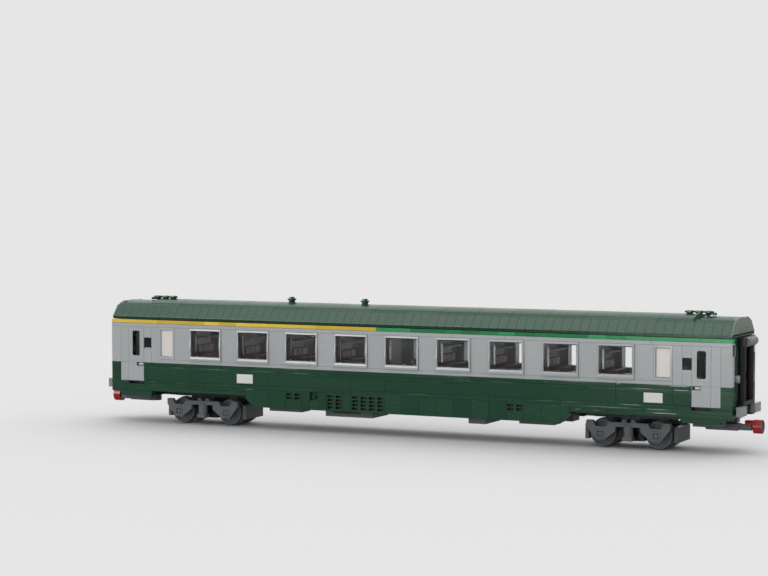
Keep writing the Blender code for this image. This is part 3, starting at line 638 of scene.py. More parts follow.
assemble_pair(lower_side_parts() + [chamfered_end(-1), chamfered_end(1)] + filler_parts(), "green_side_right",
              ("lower_side_right", "lower_end_right_rear", "lower_end_right_front"))

# The entrance steps: dark grey plates that hang behind the doors' skirt, clutched under the floor.
# Each is two plates high.
dark_grey = (0.098, 0.108, 0.118)
grey_dark_plastic = plastic("dark_grey_plastic", dark_grey, 0.24, 0.14)
step_near, step_gap, step_back, step_height, step_foot = 0.2545, 0.0003, 0.0160, 1.15 * plate, 10.4 * plate
step_parts = []
for side in (-1, 1):
    for sign in (-1, 1):
        x0, x1 = span(sign, step_near, door_end - step_gap)
        y0, y1 = span(side, step_back, -inner - seam)
        for low in (waist - step_foot, waist - step_foot + step_height):
            step_parts.append(brick((x0, y0, low), (x1, y1, low + step_height), grey_dark_plastic))
assemble(step_parts, "entrance_steps")

# The light grey upper sides: long plates above and below the windows, tall bricks between them.
# The windows have moulded frames that stand a little proud, with a soft bead all round.
grey_plastic = plastic("light_grey_plastic", light_grey, 0.20, 0.05)
window_pitch = 6 * stud
window_half, opening_half = 2 * stud, 0.0144
opening_low, opening_high = waist + 0.0070, waist + 0.0300
window_places = [(i - 4) * window_pitch for i in range(9)]
small_opening_half, small_opening_low, small_opening_high = 0.0062, waist + 1.85 * plate, waist + 9.3 * plate
frame_proud, small_frame_proud = 0.00115, 0.0002
frame_round, bead_step, back_rim, on_centre = 0.00012, 0.0001, 0.0011, 0.0001
near_middle_x, near_middle_z = 0.001, 0.003

# The bead's section: shares of the way from the frame's edge to its opening, and of its full height
bead_shares = ((0.00, 0.45), (0.30, 0.70), (0.90, 0.92), (1.0, 0.62))
# The fold in a large frame's sides, as shares of its height from the top, at the left and the right
fold_left_shares, fold_right_shares = (0.27, 0.62), (0.15, 0.42)
fold_out, sill_rise, sill_fall = 0.0006, 0.0008, 0.0007


# Scales and moves the ring that has just been inset until it fills a box
def fit_ring(piece, x0, x1, z0, z1):
    done()
    ring = [point.co.copy() for point in piece.data.vertices if point.select]
    left, right = min(p.x for p in ring), max(p.x for p in ring)
    foot, head = min(p.z for p in ring), max(p.z for p in ring)
    centre = ((left + right) / 2, 0, (foot + head) / 2)
    bpy.ops.object.mode_set(mode="EDIT")
    bpy.ops.transform.resize(value=((x1 - x0) / (right - left), 1, (z1 - z0) / (head - foot)),
                             center_override=centre)
    bpy.ops.transform.translate(value=((x0 + x1) / 2 - centre[0], 0, (z0 + z1) / 2 - centre[2]))
    done()


# A window frame: a block whose face is drawn out in steps into a soft bead, then opened right through
def window_frame(x0, x1, z0, z1, hole, proud):
    piece = start_cube((x0 + seam, outer, z0 + seam), (x1 - seam, inner, z1 - seam), grey_plastic)
    hx0, hx1, hz0, hz1 = hole
    middle_x, middle_z = (x0 + x1) / 2, (z0 + z1) / 2
    pick_faces(piece, lambda c, n: n.y < -square_on)
    draw_out(y=-proud * bead_shares[0][1])
    done()
    for (share, rise), (next_share, next_rise) in zip(bead_shares, bead_shares[1:]):
        pick_faces(piece, lambda c, n: n.y < -square_on and abs(c.x - middle_x) < near_middle_x
                   and abs(c.z - middle_z) < near_middle_z)
        bpy.ops.mesh.inset(thickness=bead_step)
        bpy.ops.transform.translate(value=(0, -proud * (next_rise - rise), 0))
        fit_ring(piece, x0 + (hx0 - x0) * next_share, x1 + (hx1 - x1) * next_share,
                 z0 + (hz0 - z0) * next_share, z1 + (hz1 - z1) * next_share)
    pick_faces(piece, lambda c, n: n.y > square_on)
    bpy.ops.mesh.inset(thickness=back_rim)
    fit_ring(piece, hx0, hx1, hz0, hz1)
    pick_faces(piece, lambda c, n: abs(n.y) > square_on and abs(c.x - (hx0 + hx1) / 2) < on_centre
               and abs(c.z - (hz0 + hz1) / 2) < on_centre)
    bpy.ops.mesh.bridge_edge_loops()
    done()
    return piece


# Folds a frame's bead forwards below a slant in each side, and lifts the sill's bead
def fold_bead(piece, x, z0, z1, sill):
    on_bead = outer - 0.0003
    bead_foot, bead_head = (z0 + share * (sill - z0) for share in (bead_shares[1][0], 0.85))
    left, right = ([z1 - share * (z1 - z0) for share in shares]
                   for shares in (fold_left_shares, fold_right_shares))
    for level in left + right:
        cut_across(piece, "Z", level)
    shift_points(piece, (0, -fold_out, 0),
                 lambda p: p.y < on_bead and p.z < (left[1] if p.x < x else right[1]) + sliver)
    shift_points(piece, (0, 0, sill_rise),
                 lambda p: p.y < on_bead and abs(p.z - bead_foot) < on_centre)
    shift_points(piece, (0, sill_fall, 0),
                 lambda p: p.y < on_bead and bead_head < p.z < sill + on_centre)


def finished_frame(piece):
    return smooth(soften(piece, frame_round, 1, step_angle), flat_angle)


# The grey bricks round each door: near and far end in studs, low and high edge in plates
door_bricks = ((30, 31, 0, 10), (31, 32, 0, 4), (31, 32, 7, 10), (34, 35, 0, 10), (34, 35, door_base, 0),
               (35, half_side / stud, 0, 10))


def upper_side_parts():
    frame_low, frame_high = waist + plate, waist + 10 * plate
    parts = row_of(-30 * stud, 30 * stud, 0, 1, (4, 6, 8, 10), grey_plastic, flat)
    parts += row_of(-half_side, half_side, 10, 11, (4, 6, 8, 10), grey_plastic, flat)
    master = window_frame(-window_half, window_half, frame_low, frame_high,
                          (-opening_half, opening_half, opening_low, opening_high), frame_proud)
    fold_bead(master, 0, frame_low, frame_high, opening_low)
    finished_frame(master)
    for x in window_places:
        parts.append(copy_of(master, (x, 0, 0)))
        if x < window_places[-1]:
            parts.append(wall_brick(x + window_half, x + 4 * stud, 1, 10, grey_plastic, flat, post_lean))
    bpy.data.objects.remove(master)
    for sign in (-1, 1):
        x0, x1 = span(sign, 26 * stud, 28 * stud)
        parts.append(wall_brick(x0, x1, 1, 10, grey_plastic, flat, post_lean))
        x0, x1 = span(sign, 28 * stud, 30 * stud)
        middle = (x0 + x1) / 2
        hole = (middle - small_opening_half, middle + small_opening_half,
                small_opening_low, small_opening_high)
        small = window_frame(x0, x1, frame_low, frame_high, hole, small_frame_proud)
        parts.append(give_shade(finished_frame(small)))
        for near, far, low, high in door_bricks:
            x0, x1 = span(sign, near * stud, far * stud)
            parts.append(wall_brick(x0, x1, low, high, grey_plastic, lean=band_lean))
    return parts


assemble_pair(upper_side_parts(), "grey_side_right", ("window_band_right",))

# The dark square beside each door: a smoked, glassy tile in a light grey surround.
# It is pressed into the wall's column and lies a little deeper than the wall.
smoked = plastic("smoked_tile_plastic", (0.010, 0.010, 0.012), 0.10, 0.5, 0.05, 0.6)
square_gap, square_sink, square_rim, square_dish = 0.0004, 0.0008, 0.0006, 0.0003
square_parts = []
for sign in (-1, 1):
    x0, x1 = span(sign, 31 * stud, door_low)
    square = start_cube((x0 + square_gap, outer + square_sink, waist + 4 * plate + seam),
                        (x1 - square_gap, inner, waist + 7 * plate - seam), smoked)
    sink_face(square, square_rim, (0, square_dish, 0))
    square_parts.append(soften(square, fine_round, 1))
assemble_pair(square_parts, "dark_squares_right")

# The blank white boards on the green sides: flat white tiles, clipped on.
# They carry nothing, and their edges are softly rounded.
white_plastic = plastic("white_plastic", (0.60, 0.60, 0.57), 0.22, 0.05)
board_proud, board_sunk, board_rim, board_swell = 0.0004, 0.0015, 0.0005, 0.0001
board_parts = []
for x0, x1 in ((-20 * stud, -18 * stud), (27 * stud, 29 * stud)):
    board = start_cube((x0, outer - board_proud, waist - 4.6 * plate),
                       (x1, outer + board_sunk, waist - 2.1 * plate), white_plastic)
    sink_face(board, board_rim, (0, -board_swell, 0))
    board_parts.append(soften(board, block_round))
assemble_pair(board_parts, "white_boards_right")

# The entrance doors: light grey leaves with a tall round-cornered window and a bar handle in a notch.
# Each is built of an upper and a lower half that clutch together at the waist.
door_window_width, door_window_radius = 0.0075, 0.0015
door_round, cut_past = 0.00012, 0.002
notch_edge, notch_depth, notch_back, notch_shade_margin = 0.0004, 0.003, 0.0032, 0.0002
handle_radius, handle_length, handle_gap, handle_sink, handle_rim = 0.00125, 0.0046, 0.0006, 0.0008, 0.0004


def rounded_hole(x, z0, z1):
    y0, y1 = outer - cut_past, inner + cut_past
    half = door_window_width / 2
    # The cutter is black, and the cut hands its material to the faces it leaves: the window's reveal is
    # painted black as painted shade
    tool = start_cube((x - half, y0, z0), (x + half, y1, z1), black_plastic)

    def runs_in(edge):
        first, second = (tool.data.vertices[i].co.y for i in edge.vertices)
        return abs(first - second) > (y1 - y0) / 2

    pick(tool, "EDGE", runs_in)
    bpy.ops.mesh.bevel(offset=door_window_radius, segments=5, affect="EDGES")
    done()
    return tool


def carve(piece, tool):
    make_active(piece)
    step = piece.modifiers.new("opening", "BOOLEAN")
    step.operation = "DIFFERENCE"
    step.solver = "EXACT"
    step.object = tool
    step.material_mode = "TRANSFER"
    bpy.ops.object.modifier_apply(modifier=step.name)
    bpy.data.objects.remove(tool)


def door_parts(sign):
    x0, x1 = span(sign, door_low, door_high)
    upper = start_cube((x0 + seam, outer, waist + seam), (x1 - seam, inner, waist + 10 * plate - seam),
                       grey_plastic)
    carve(upper, rounded_hole((x0 + x1) / 2, waist + 1.9 * plate, waist + 8.85 * plate))
    lower = start_cube((x0 + seam, outer, waist + door_base * plate), (x1 - seam, inner, waist - seam),
                       grey_plastic)
    cell0, cell1 = sorted(((x0 + x1) / 2, sign * door_low))
    carve(lower, start_cube((cell0 + notch_edge, outer - cut_past, waist - plate),
                            (cell1 - notch_edge, outer + notch_depth, waist + plate), grey_plastic))
    # The black block at the back of the notch is painted shade in the notch behind the handle
    back = start_cube((cell0 + 0.0005, outer + 0.0026, waist - plate + notch_shade_margin),
                      (cell1 - 0.0005, outer + notch_back, waist - notch_shade_margin), black_plastic)
    bar_end, bar_y, bar_z = cell1 - handle_gap, outer + handle_sink, waist - plate / 2
    bar = rod((bar_end - handle_length, bar_y, bar_z), (bar_end, bar_y, bar_z), handle_radius, grey_plastic,
              20, "X")
    pick_faces(bar, lambda c, n: abs(n.x) > square_on)
    bpy.ops.mesh.inset(thickness=handle_rim, use_individual=True)
    done()
    return [smooth(soften(upper, door_round, 1), 20.0), soften(lower, door_round, 1),
            soften(back, fine_round, 1), smooth(soften(bar, block_round))]


for sign, end in ((-1, "rear"), (1, "front")):
    assemble_pair(door_parts(sign), f"entrance_door_right_{end}", (f"door_right_{end}",))

# The stripe above the windows: yellow tiles along the rear part and bright green ones along the rest.
# It is one row of plates, flush with the wall.
yellow_plastic = plastic("yellow_plastic", (0.60, 0.42, 0.045), 0.20, 0.30)
bright_plastic = plastic("bright_green_plastic", (0.022, 0.215, 0.075), 0.20, 0.5)
colour_change = -3 * stud
stretches = ((-half_side, colour_change, yellow_plastic, "yellow", "stripe_yellow"),
             (colour_change, half_side, bright_plastic, "bright_green", "stripe_green"))
for side, across in (("right", 0), ("left", 2 * half_width - wall_depth)):
    for start, end, look, colour, node in stretches:
        tiles = row_of(start, end, 11.03, 12, (2, 4, 6, 8), look, proud_little)
        for tile in tiles:
            tile.data.transform(Matrix.Translation((0, across, 0)))
        assemble(tiles, f"{colour}_tiles_{side}", stands_for=(f"{node}_{side}",))

# The roof: straight dark green slopes one stud wide along both eaves, shoulders and low crowns above them.
# Under the slopes a row of dark green plates stands a little back from the wall.
roof_plastic = plastic("roof_green_plastic", dark_green, 0.22, 0.16)
# The roof ends' cap is the same dark green plastic, painted a paler grey-green as painted sheen at its
# grazing angle
roof_end_plastic = plastic("roof_end_plastic", (0.130, 0.165, 0.145), 0.30, 0.10)
eaves_base, roof_base = waist + 12 * plate, waist + 13 * plate
roof_height = 4.5 * plate
roof_top = roof_base + roof_height
half_body = 0.288
slope_foot, slope_head, shoulder_head = half_width - seam, 0.0236, 0.0184
end_drop, eaves_setback = 0.0015, 0.0010
slope_depth, shoulder_low, crown_low, roof_round = 0.0012, 0.002, 0.004, 0.00012
slope_tilt, shoulder_settle, pivot_y = 0.25, 0.00008, -0.028

# The roof's facets, as pairs of distance from the middle line and height over its base
facets = ((slope_foot, -0.0003), (slope_head, 0.0090), (shoulder_head, 0.0112), (0.0110, 0.0134),
          (0.0, roof_height))
end_facets = ((slope_head, 0.0088), (shoulder_head, 0.0108), (0.0140, 0.0124))


def facet_z(y):
    for (wide, low), (narrow, high) in zip(facets, facets[1:]):
        if y >= narrow:
            return roof_base + low + (high - low) * (wide - y) / (wide - narrow)
    return roof_top


# A roof piece whose top follows the roof's facets between two distances from the middle line
def faceted_piece(half_length, y_out, y_in, low, sink=0.0):
    blank = 0.0002
    piece = start_cube((-half_length + seam, -y_out, low), (half_length - seam, -y_in, low + blank),
                       roof_plastic)
    lines = [y_out] + [wide for wide, high in facets if y_in < wide < y_out] + [y_in]
    for y in lines[1:-1]:
        cut_across(piece, "Y", -y)
    for y in lines:
        shift_points(piece, (0, 0, facet_z(y) - sink - low - blank),
                     lambda p: abs(p.y + y) < 1e-5 and p.z > low + blank / 2)
    return piece


def half_roof_parts():
    parts = row_of(-half_body, half_body, 12.1, 13.02, (2, 4, 6, 8), roof_plastic, flat)
    for part in parts:
        part.data.transform(Matrix.Translation((0, eaves_setback, 0)))
    slope = faceted_piece(stud / 2, slope_foot, slope_head + 0.0001, roof_base - slope_depth)
    smooth(soften(slope, tiny_round, 1), flat_angle)
    shoulder = faceted_piece(2 * stud, slope_head - 0.00005, shoulder_head + 0.0001, roof_base + shoulder_low,
                             0.0001)
    smooth(soften(shoulder, roof_round, 1), flat_angle)
    crown = faceted_piece(2 * stud, shoulder_head - 0.0001, seam, roof_base + crown_low)
    smooth(soften(crown, roof_round, 1, step_angle), flat_angle)
    anchor = Matrix.Translation((0, pivot_y, roof_base))
    for i in range(72):
        turn = Matrix.Rotation(math.radians(lot.uniform(-slope_tilt, slope_tilt)), 4, "X")
        x = -half_body + (i + 0.5) * stud
        parts.append(copy_of(slope, (x, 0, 0), anchor @ turn @ anchor.inverted()))
    for i in range(18):
        x = -half_body + (i + 0.5) * 4 * stud
        parts.append(copy_of(shoulder, (x, 0, -lot.uniform(0, shoulder_settle))))
        parts.append(copy_of(crown, (x, 0, -end_drop if i in (0, 17) else 0)))
    for master in (slope, shoulder, crown):
        bpy.data.objects.remove(master)
    return parts


def turned_copies(parts):
    twins = [twin_of(part) for part in parts]
    for twin in twins:
        twin.data.transform(half_turn)
    return twins


# A ventilator: a short stem, a wide round rim and a stud on it, pressed on the roof's top
def vent(x):
    sunk, stem_height, stem_radius, tier_height = 0.0010, 0.0018, 0.00275, 0.0014
    rim_growth, stud_growth, stud_rim, stud_dish = 1.382, 0.618, 0.0008, 0.0003
    piece = rod((x, 0, roof_top - sunk), (x, 0, roof_top + stem_height), stem_radius, roof_plastic)
    pick_faces(piece, lambda c, n: n.z > square_on)
    for growth in (rim_growth, stud_growth):
        draw_out()
        bpy.ops.transform.resize(value=(growth, growth, 1), center_override=(x, 0, roof_top))
        draw_out(z=tier_height)
    bpy.ops.mesh.inset(thickness=stud_rim)
    bpy.ops.transform.translate(value=(0, 0, -stud_dish))
    done()
    return smooth(soften(piece, 0.00015))


# One of the raised leaves on the roof: a small pointed blade on a short foot
def leaf(x):
    half_length, half_blade, low, high = 0.0042, 0.0026, roof_top + 0.0006, roof_top + 0.0026
    foot_half, foot_height, tip = 0.0022, 0.0018, 0.0004
    piece = start_cube((x - half_length, -half_blade, low), (x + half_length, half_blade, high), roof_plastic)
    for step in (-foot_half, 0.0, foot_half):
        cut_across(piece, "X", x + step)
    pick_points(piece, lambda p: abs(p.x - x) > half_length - tip)
    bpy.ops.transform.resize(value=(1, 0.35, 0.5), center_override=(x, 0, (low + high) / 2))
    done()
    pick_faces(piece, lambda c, n: n.z < -square_on and abs(c.x - x) < foot_half)
    draw_out(z=-foot_height)
    bpy.ops.transform.resize(value=(0.7, 0.5, 1), center_override=(x, 0, roof_top))
    done()
    return smooth(soften(piece, 0.00035, 2, 25.0), 50.0)


# A thin bar that climbs over the shoulder beside the front leaves
def roof_bar(x, y0, y1, steps):
    half, blank_z, clear_of_roof = 0.001, roof_base + 0.005, 0.0006
    bar = start_cube((x - half, y0, blank_z - half), (x + half, y1, blank_z + half), roof_plastic)
    places = [y0 + (y1 - y0) * i / steps for i in range(steps + 1)]
    for y in places[1:-1]:
        cut_across(bar, "Y", y)
    for y in places:
        shift_points(bar, (0, 0, facet_z(abs(y)) + clear_of_roof - blank_z), lambda p: abs(p.y - y) < 1e-5)
    return smooth(soften(bar, 0.0005))


def roof_fittings():
    tail_half, tail_sunk, tail_height, tail_inset = 0.0015, 0.001, 0.0012, 0.001
    fittings = [vent(-15.26 * stud), vent(-6.27 * stud)]
    for sign in (-1, 1):
        fittings += [leaf(sign * (30 + i + 0.5) * stud) for i in range(3)]
        x0, x1 = span(sign, 33 * stud - tail_inset, 33.3 * stud)
        tail = start_cube((x0, -tail_half, roof_top - tail_sunk), (x1, tail_half, roof_top + tail_height),
                          roof_plastic)
        fittings.append(soften(tail, 0.0004))
    return fittings + [roof_bar(31.7 * stud, -0.020, -0.004, 8)]


# The closed roof end: a slab of the roof's own section, its crown left low
def roof_end(sign):
    slab_back, slab_front, slab_half, blank = 0.0016, 0.0008, half_width - 0.001, 0.0002
    x0, x1 = span(sign, half_body - slab_back, half_body + slab_front)
    slab = start_cube((x0, -slab_half, eaves_base + 0.0003), (x1, slab_half, roof_base), roof_plastic)
    cap_low = roof_base - slope_depth
    # The cap's paler grey-green is painted sheen of the dark green roof seen edge-on
    cap = start_cube((x0, -slope_foot, cap_low), (x1, slope_foot, cap_low + blank), roof_end_plastic)
    lines = end_facets + tuple((-y, rise) for y, rise in reversed(end_facets))
    for y, rise in lines:
        cut_across(cap, "Y", y)
    for y, rise in lines:
        shift_points(cap, (0, 0, roof_base + rise - cap_low - blank),
                     lambda p: abs(p.y - y) < 1e-5 and p.z > cap_low + blank / 2)
    return [soften(slab, block_round, 1), smooth(soften(cap, 0.0003, 2, 20.0), 30.0)]


half_roof = half_roof_parts()
assemble(half_roof + turned_copies(half_roof) + roof_fittings() + roof_end(1) + roof_end(-1), "roof_shell",
         stands_for=("roof",))

# The window panes: one clear moulded block to each large window, in a thin black ring that is painted shade
# round the opening.
# Along each pane's rear edge stands an opaque rib, lightened window by window as painted light.
clear = bpy.data.materials.new("clear_glazing")
clear.use_nodes = True
glass = clear.node_tree.nodes["Principled BSDF"]
glass.inputs["Base Color"].default_value = (0.985, 0.987, 0.99, 1.0)
glass.inputs["Transmission Weight"].default_value = 1.0
glass.inputs["Roughness"].default_value = 0.02
glass.inputs["IOR"].default_value = 1.30
glass.inputs["Metallic"].default_value = 0.0
milk = plastic("milky_pane_plastic", (0.66, 0.62, 0.595), 0.25, 0.05)
# The ribs' plastic is lightened by each rib's given level: painted light
rib_painted_light_plastic = plastic("pane_rib_plastic", (0.34, 0.35, 0.35), 0.3, 1.4, 0.1, 0.1)
rib_painted_light_levels = (0.0, 0.0, 0.0, 0.1, 0.6, 1.0, 1.0, 1.0, 1.0)
shade_ring_gap, shade_ring_width, shade_ring_front, shade_ring_back, shade_ring_reach = 0.00005, 0.0004, 0.0002, 0.0001, 0.0008
pane_gap, pane_front, pane_back = 0.0005, 0.0001, 0.0012


# A thin black ring round a window's opening, painted shade, that runs in to the wall's inner face
def painted_shade_ring(x):
    ring = start_cube((x - opening_half + shade_ring_gap, outer - shade_ring_front, opening_low + shade_ring_gap),
                      (x + opening_half + shade_ring_reach, inner - shade_ring_back, opening_high - shade_ring_gap),
                      black_plastic)
    pick_faces(ring, lambda c, n: abs(n.y) > square_on)
    bpy.ops.mesh.inset(thickness=shade_ring_width, use_individual=True)
    bpy.ops.mesh.bridge_edge_loops()
    done()
    return give_shade(ring)


def pane_block(x):
    pane = start_cube((x - opening_half + pane_gap, outer + pane_front, opening_low + pane_gap),
                      (x + opening_half - pane_gap, outer + pane_back, opening_high - pane_gap), clear)
    return soften(pane, fine_round, 1)


def plain_block(low, high, look, rounding=block_round):
    return soften(start_cube(low, high, look), rounding)


# A rib along a pane's rear edge, lightened by its given level as painted light
def pane_rib(x, brightness):
    left, right, front, back = x - 0.0133, x - 0.0119, outer + 0.0050, outer + 0.0062
    low, high = waist + 0.0105, waist + 0.0265
    return give_shade(plain_block((left, front, low), (right, back, high), rib_painted_light_plastic, fine_round), brightness)


assemble_pair([painted_shade_ring(x) for x in window_places], "window_linings_right")
assemble_pair([pane_block(x) for x in window_places], "window_glazing_right",
              [f"window_pane_right_{i}" for i in range(1, 10)])
for name, node in frame["nodes"].items():
    if "pane" in name and not name.startswith("window"):
        node.data.materials.clear()
        node.data.materials.append(clear if name.startswith("door") else milk)
assemble_pair([pane_rib(x, brightness) for x, brightness in zip(window_places, rib_painted_light_levels)], "pane_ribs_right")

# The inside: a reddish brown deck with benches back to back, a partition between each pair, its pale grey
# painted light for the dim inside.
# Each bench back has paler squares at head height, painted light for the back's lit face, and a grey rack
# hangs above it on the partition.
deck_low, deck_top, deck_half_length, deck_half_width = 0.03846, 0.04166, 0.2795, 0.0237
partition_half, partition_top = 0.0158, waist + 0.0287
bench_half, back_top, cushion_top, plinth_half = 0.0156, waist + 0.0158, waist + 0.0091, 0.0140
painted_light_low, painted_light_high, painted_light_half, painted_light_pitch = waist + 0.0095, waist + 0.0156, 0.0036, 0.0085
partition_face, back_start, back_face, painted_light_face = 0.0020, 0.0022, 0.0060, 0.0066
seat_start, seat_face, plinth_face, bracket_face = 0.0061, 0.0178, 0.0150, 0.0110
cushion_low, plinth_top = deck_top + 0.006, deck_top + 0.0058
ceiling_low, ceiling_high = eaves_base - 0.0020, eaves_base - 0.0008
rack_half, bracket_low, rack_low, rack_high = 0.0150, waist + 0.0212, waist + 0.0222, waist + 0.0230
bracket_y, bracket_half = 0.0130, 0.0008
slat_start, slat_pitch, slat_width = 0.0021, 0.0026, 0.0015
brown_plastic = plastic("reddish_brown_plastic", (0.085, 0.028, 0.022), 0.45, 0.2, 0.1, 0.1)
# The pale squares' colour is painted light on the seat backs
painted_light_patch_plastic = plastic("seat_back_painted_light_plastic", (0.420, 0.345, 0.330), 0.5, 0.1, 0.1, 0.1)
# The partition's pale grey is painted light
partition_painted_light_plastic = plastic("partition_painted_light_plastic", (0.540, 0.535, 0.535), 0.45, 0.1, 0.1, 0.1)
rack_plastic = plastic("rack_plastic", (0.42, 0.42, 0.43), 0.4, 0.1, 0.1, 0.1)


# A partition with the bench, pale head squares and rack that look one way or both ways from it
def bench_parts(x, faces):
    parts = [plain_block((x - partition_face, -partition_half, deck_top),
                         (x + partition_face, partition_half, partition_top), partition_painted_light_plastic)]

    def add(near, far, y, half, z0, z1, look, rounding=block_round, steps=2):
        x0, x1 = sorted((x + face * near, x + face * far))
        parts.append(soften(start_cube((x0, y - half, z0), (x1, y + half, z1), look), rounding, steps))

    for face in faces:
        add(back_start, back_face, 0, bench_half, deck_top, back_top, brown_plastic, 0.0005)
        # The pale squares on the back's face are painted light
        for y in (-painted_light_pitch, 0, painted_light_pitch):
            add(back_face, painted_light_face, y, painted_light_half, painted_light_low, painted_light_high, painted_light_patch_plastic)
        add(seat_start, seat_face, 0, bench_half, cushion_low, cushion_top, brown_plastic, 0.0012, 3)
        add(seat_start, plinth_face, 0, plinth_half, deck_top, plinth_top, partition_painted_light_plastic)
        for slat in range(4):
            near = slat_start + slat * slat_pitch
            add(near, near + slat_width, 0, rack_half, rack_low, rack_high, rack_plastic, fine_round)
        for y in (-bracket_y, bracket_y):
            add(slat_start, bracket_face, y, bracket_half, bracket_low, rack_low, rack_plastic, fine_round)
    return parts


inside = []
for low, high, look in ((deck_low, deck_top, brown_plastic), (ceiling_low, ceiling_high, rack_plastic)):
    inside.append(plain_block((-deck_half_length, -deck_half_width, low),
                              (deck_half_length, deck_half_width, high), look))
for i in range(10):
    faces = {0: (1,), 4: (-1,), 9: (-1,)}.get(i, (-1, 1))
    inside += bench_parts((i - 4.5) * window_pitch, faces)
assemble(inside, "seats_and_deck", stands_for=("interior", "interior_front"))

# The underframe: a long dark plate under the deck, with boxes for batteries and tools hung from it.
# Short beams beside the bogies close the gap between the skirt and the floor.
rough_dark = plastic("underframe_plastic", dark_grey, 0.42, 0.16, 0.15)
floor_low, floor_foot, floor_top, floor_half_length, floor_half_width = 0.0294, 0.0293, 0.0381, 0.2796, 0.0236
box_rim, box_dish, floor_round = 0.0010, 0.0003, 0.0003
# Each box's ends, sides and lower edge below the waist
boxes = ((-0.1320, -0.0995, -0.0240, -0.008, 0.0386), (-0.0765, -0.0310, -0.0240, 0.008, 0.0406),
         (0.0585, 0.0745, -0.0240, 0.008, 0.0404), (0.1045, 0.1360, -0.0240, -0.008, 0.0382),
         (-0.1285, -0.0965, 0.008, 0.0240, 0.0386), (0.1060, 0.1400, 0.008, 0.0240, 0.0382))
# Each pair of beams' near and far end, inner and outer side, lower edge and rounding
beams = ((0.2436, 0.2580, 0.008, 0.0225, 0.0254, 0.0002), (0.1460, 0.1572, 0.008, 0.0225, 0.0266, 0.0002),
         (0.170, 0.182, 0.0175, 0.0220, 0.0285, 0.0001), (0.194, 0.206, 0.0175, 0.0220, 0.0285, 0.0001),
         (0.218, 0.230, 0.0175, 0.0220, 0.0285, 0.0001))
under = [plain_block((-floor_half_length, -floor_half_width, floor_foot),
                     (floor_half_length, floor_half_width, floor_top), rough_dark, floor_round)]
for x0, x1, y0, y1, drop in boxes:
    box = start_cube((x0, y0, waist - drop), (x1, y1, floor_low), rough_dark)
    sink_face(box, box_rim, (0, box_dish, 0))
    under.append(soften(box, floor_round))
# A long thin black strip on the largest box's face, painted shade in place of a slot
under.append(plain_block((-0.0690, -0.0243, waist - 0.0372), (-0.0430, -0.0236, waist - 0.0350),
                         black_plastic, fine_round))
for sign in (-1, 1):
    for side in (-1, 1):
        for near, far, inside_y, outside_y, low, rounding in beams:
            x0, x1 = span(sign, near, far)
            y0, y1 = span(side, inside_y, outside_y)
            under.append(plain_block((x0, y0, low), (x1, y1, floor_low), black_plastic, rounding))
assemble(under, "underframe_and_boxes", stands_for=("underframe",))

# The coach's ends: dark green corner posts of stacked tiles, a black bay with the end door between them; the
# bay's black back wall is painted shade in the recess.
# Black bellows tubes, a grey roller darkened as painted shade under the roof, round lamps and grey buffers
# stand out from it.
grey_light_plastic = plastic("fitting_grey_plastic", (0.225, 0.238, 0.242), 0.22, 0.08)
# The roller's grey is darkened as painted shade under the roof's end
roller_painted_shade_plastic = plastic("roller_grey_painted_shade", (0.160, 0.168, 0.168), 0.40, 0.08)
door_red = plastic("end_door_plastic", (0.090, 0.020, 0.014), 0.3, 0.1)
end_top, post_foot, post_inner, post_outer, post_face = 0.0931, 0.0312, 0.0200, 0.0318, 0.2896
wall_back, wall_face, wall_half, wall_foot, bay_face = 0.2801, 0.2864, 0.0312, 0.0283, 0.2872
door_half, door_low_edge, door_top_edge, door_face = 0.0075, 0.0424, 0.0860, 0.2879
lamp_y, lamp_z, lamp_radius, lamp_back, lamp_face = 0.0205, 0.0607, 0.0031, 0.2890, 0.2918
lamp_rim, lamp_dish, lens_rim, lens_swell, fitting_round = 0.0007, 0.0005, 0.0004, 0.0006, 0.00015
tube_radius, tube_x, tube_y, tube_low, roller_z = 0.0029, 0.2912, 0.0120, 0.0394, 0.0900
buffer_y, buffer_half, buffer_low, buffer_high = 0.020, 0.0079, 0.0311, 0.0389
buffer_back, buffer_face, buffer_rim, buffer_dish = 0.2915, 0.2960, 0.0009, 0.0002
stem_back, stem_face, stem_z, stem_radius = 0.2870, 0.2916, 0.0350, 0.0024
roller_x, roller_half, roller_radius = 0.2945, 0.0118, 0.0036
# The bay's back wall, sill, header and threshold, as near and far face, half width, foot and top
# The back wall is a thin black sheet over the green end wall: painted shade
bay_blocks = ((0.2863, 0.2874, 0.0199, 0.0300, end_top), (0.2868, 0.2914, 0.0210, 0.0319, 0.0378),
              (bay_face, 0.2950, 0.0148, 0.0860, end_top), (bay_face, 0.2945, 0.0148, 0.0392, 0.0424))


def faces_out(centre, normal):
    return normal.x > square_on


def lamp(y):
    piece = rod((lamp_back, y, lamp_z), (lamp_face, y, lamp_z), lamp_radius, grey_light_plastic, axis="X")
    pick_faces(piece, faces_out)
    bpy.ops.mesh.inset(thickness=lamp_rim)
    draw_out(x=-lamp_dish)
    bpy.ops.mesh.inset(thickness=lens_rim)
    draw_out(x=lens_swell)
    done()
    return smooth(soften(piece, fitting_round))


def buffer_pad(y):
    pad = start_cube((buffer_back, y - buffer_half, buffer_low), (buffer_face, y + buffer_half, buffer_high),
                     grey_light_plastic)
    sink_face(pad, buffer_rim, (-buffer_dish, 0, 0), faces_out)
    return soften(pad, 0.0003)


def end_roller():
    roller = rod((roller_x, -roller_half, roller_z), (roller_x, roller_half, roller_z), roller_radius,
                 roller_painted_shade_plastic, 32, "Y")
    pick_faces(roller, lambda c, n: abs(n.y) > square_on)
    bpy.ops.mesh.inset(thickness=0.0012, use_individual=True)
    bpy.ops.transform.resize(value=(1, 0.96, 1), center_override=(roller_x, 0, roller_z))
    done()
    return smooth(soften(roller, 0.0004))


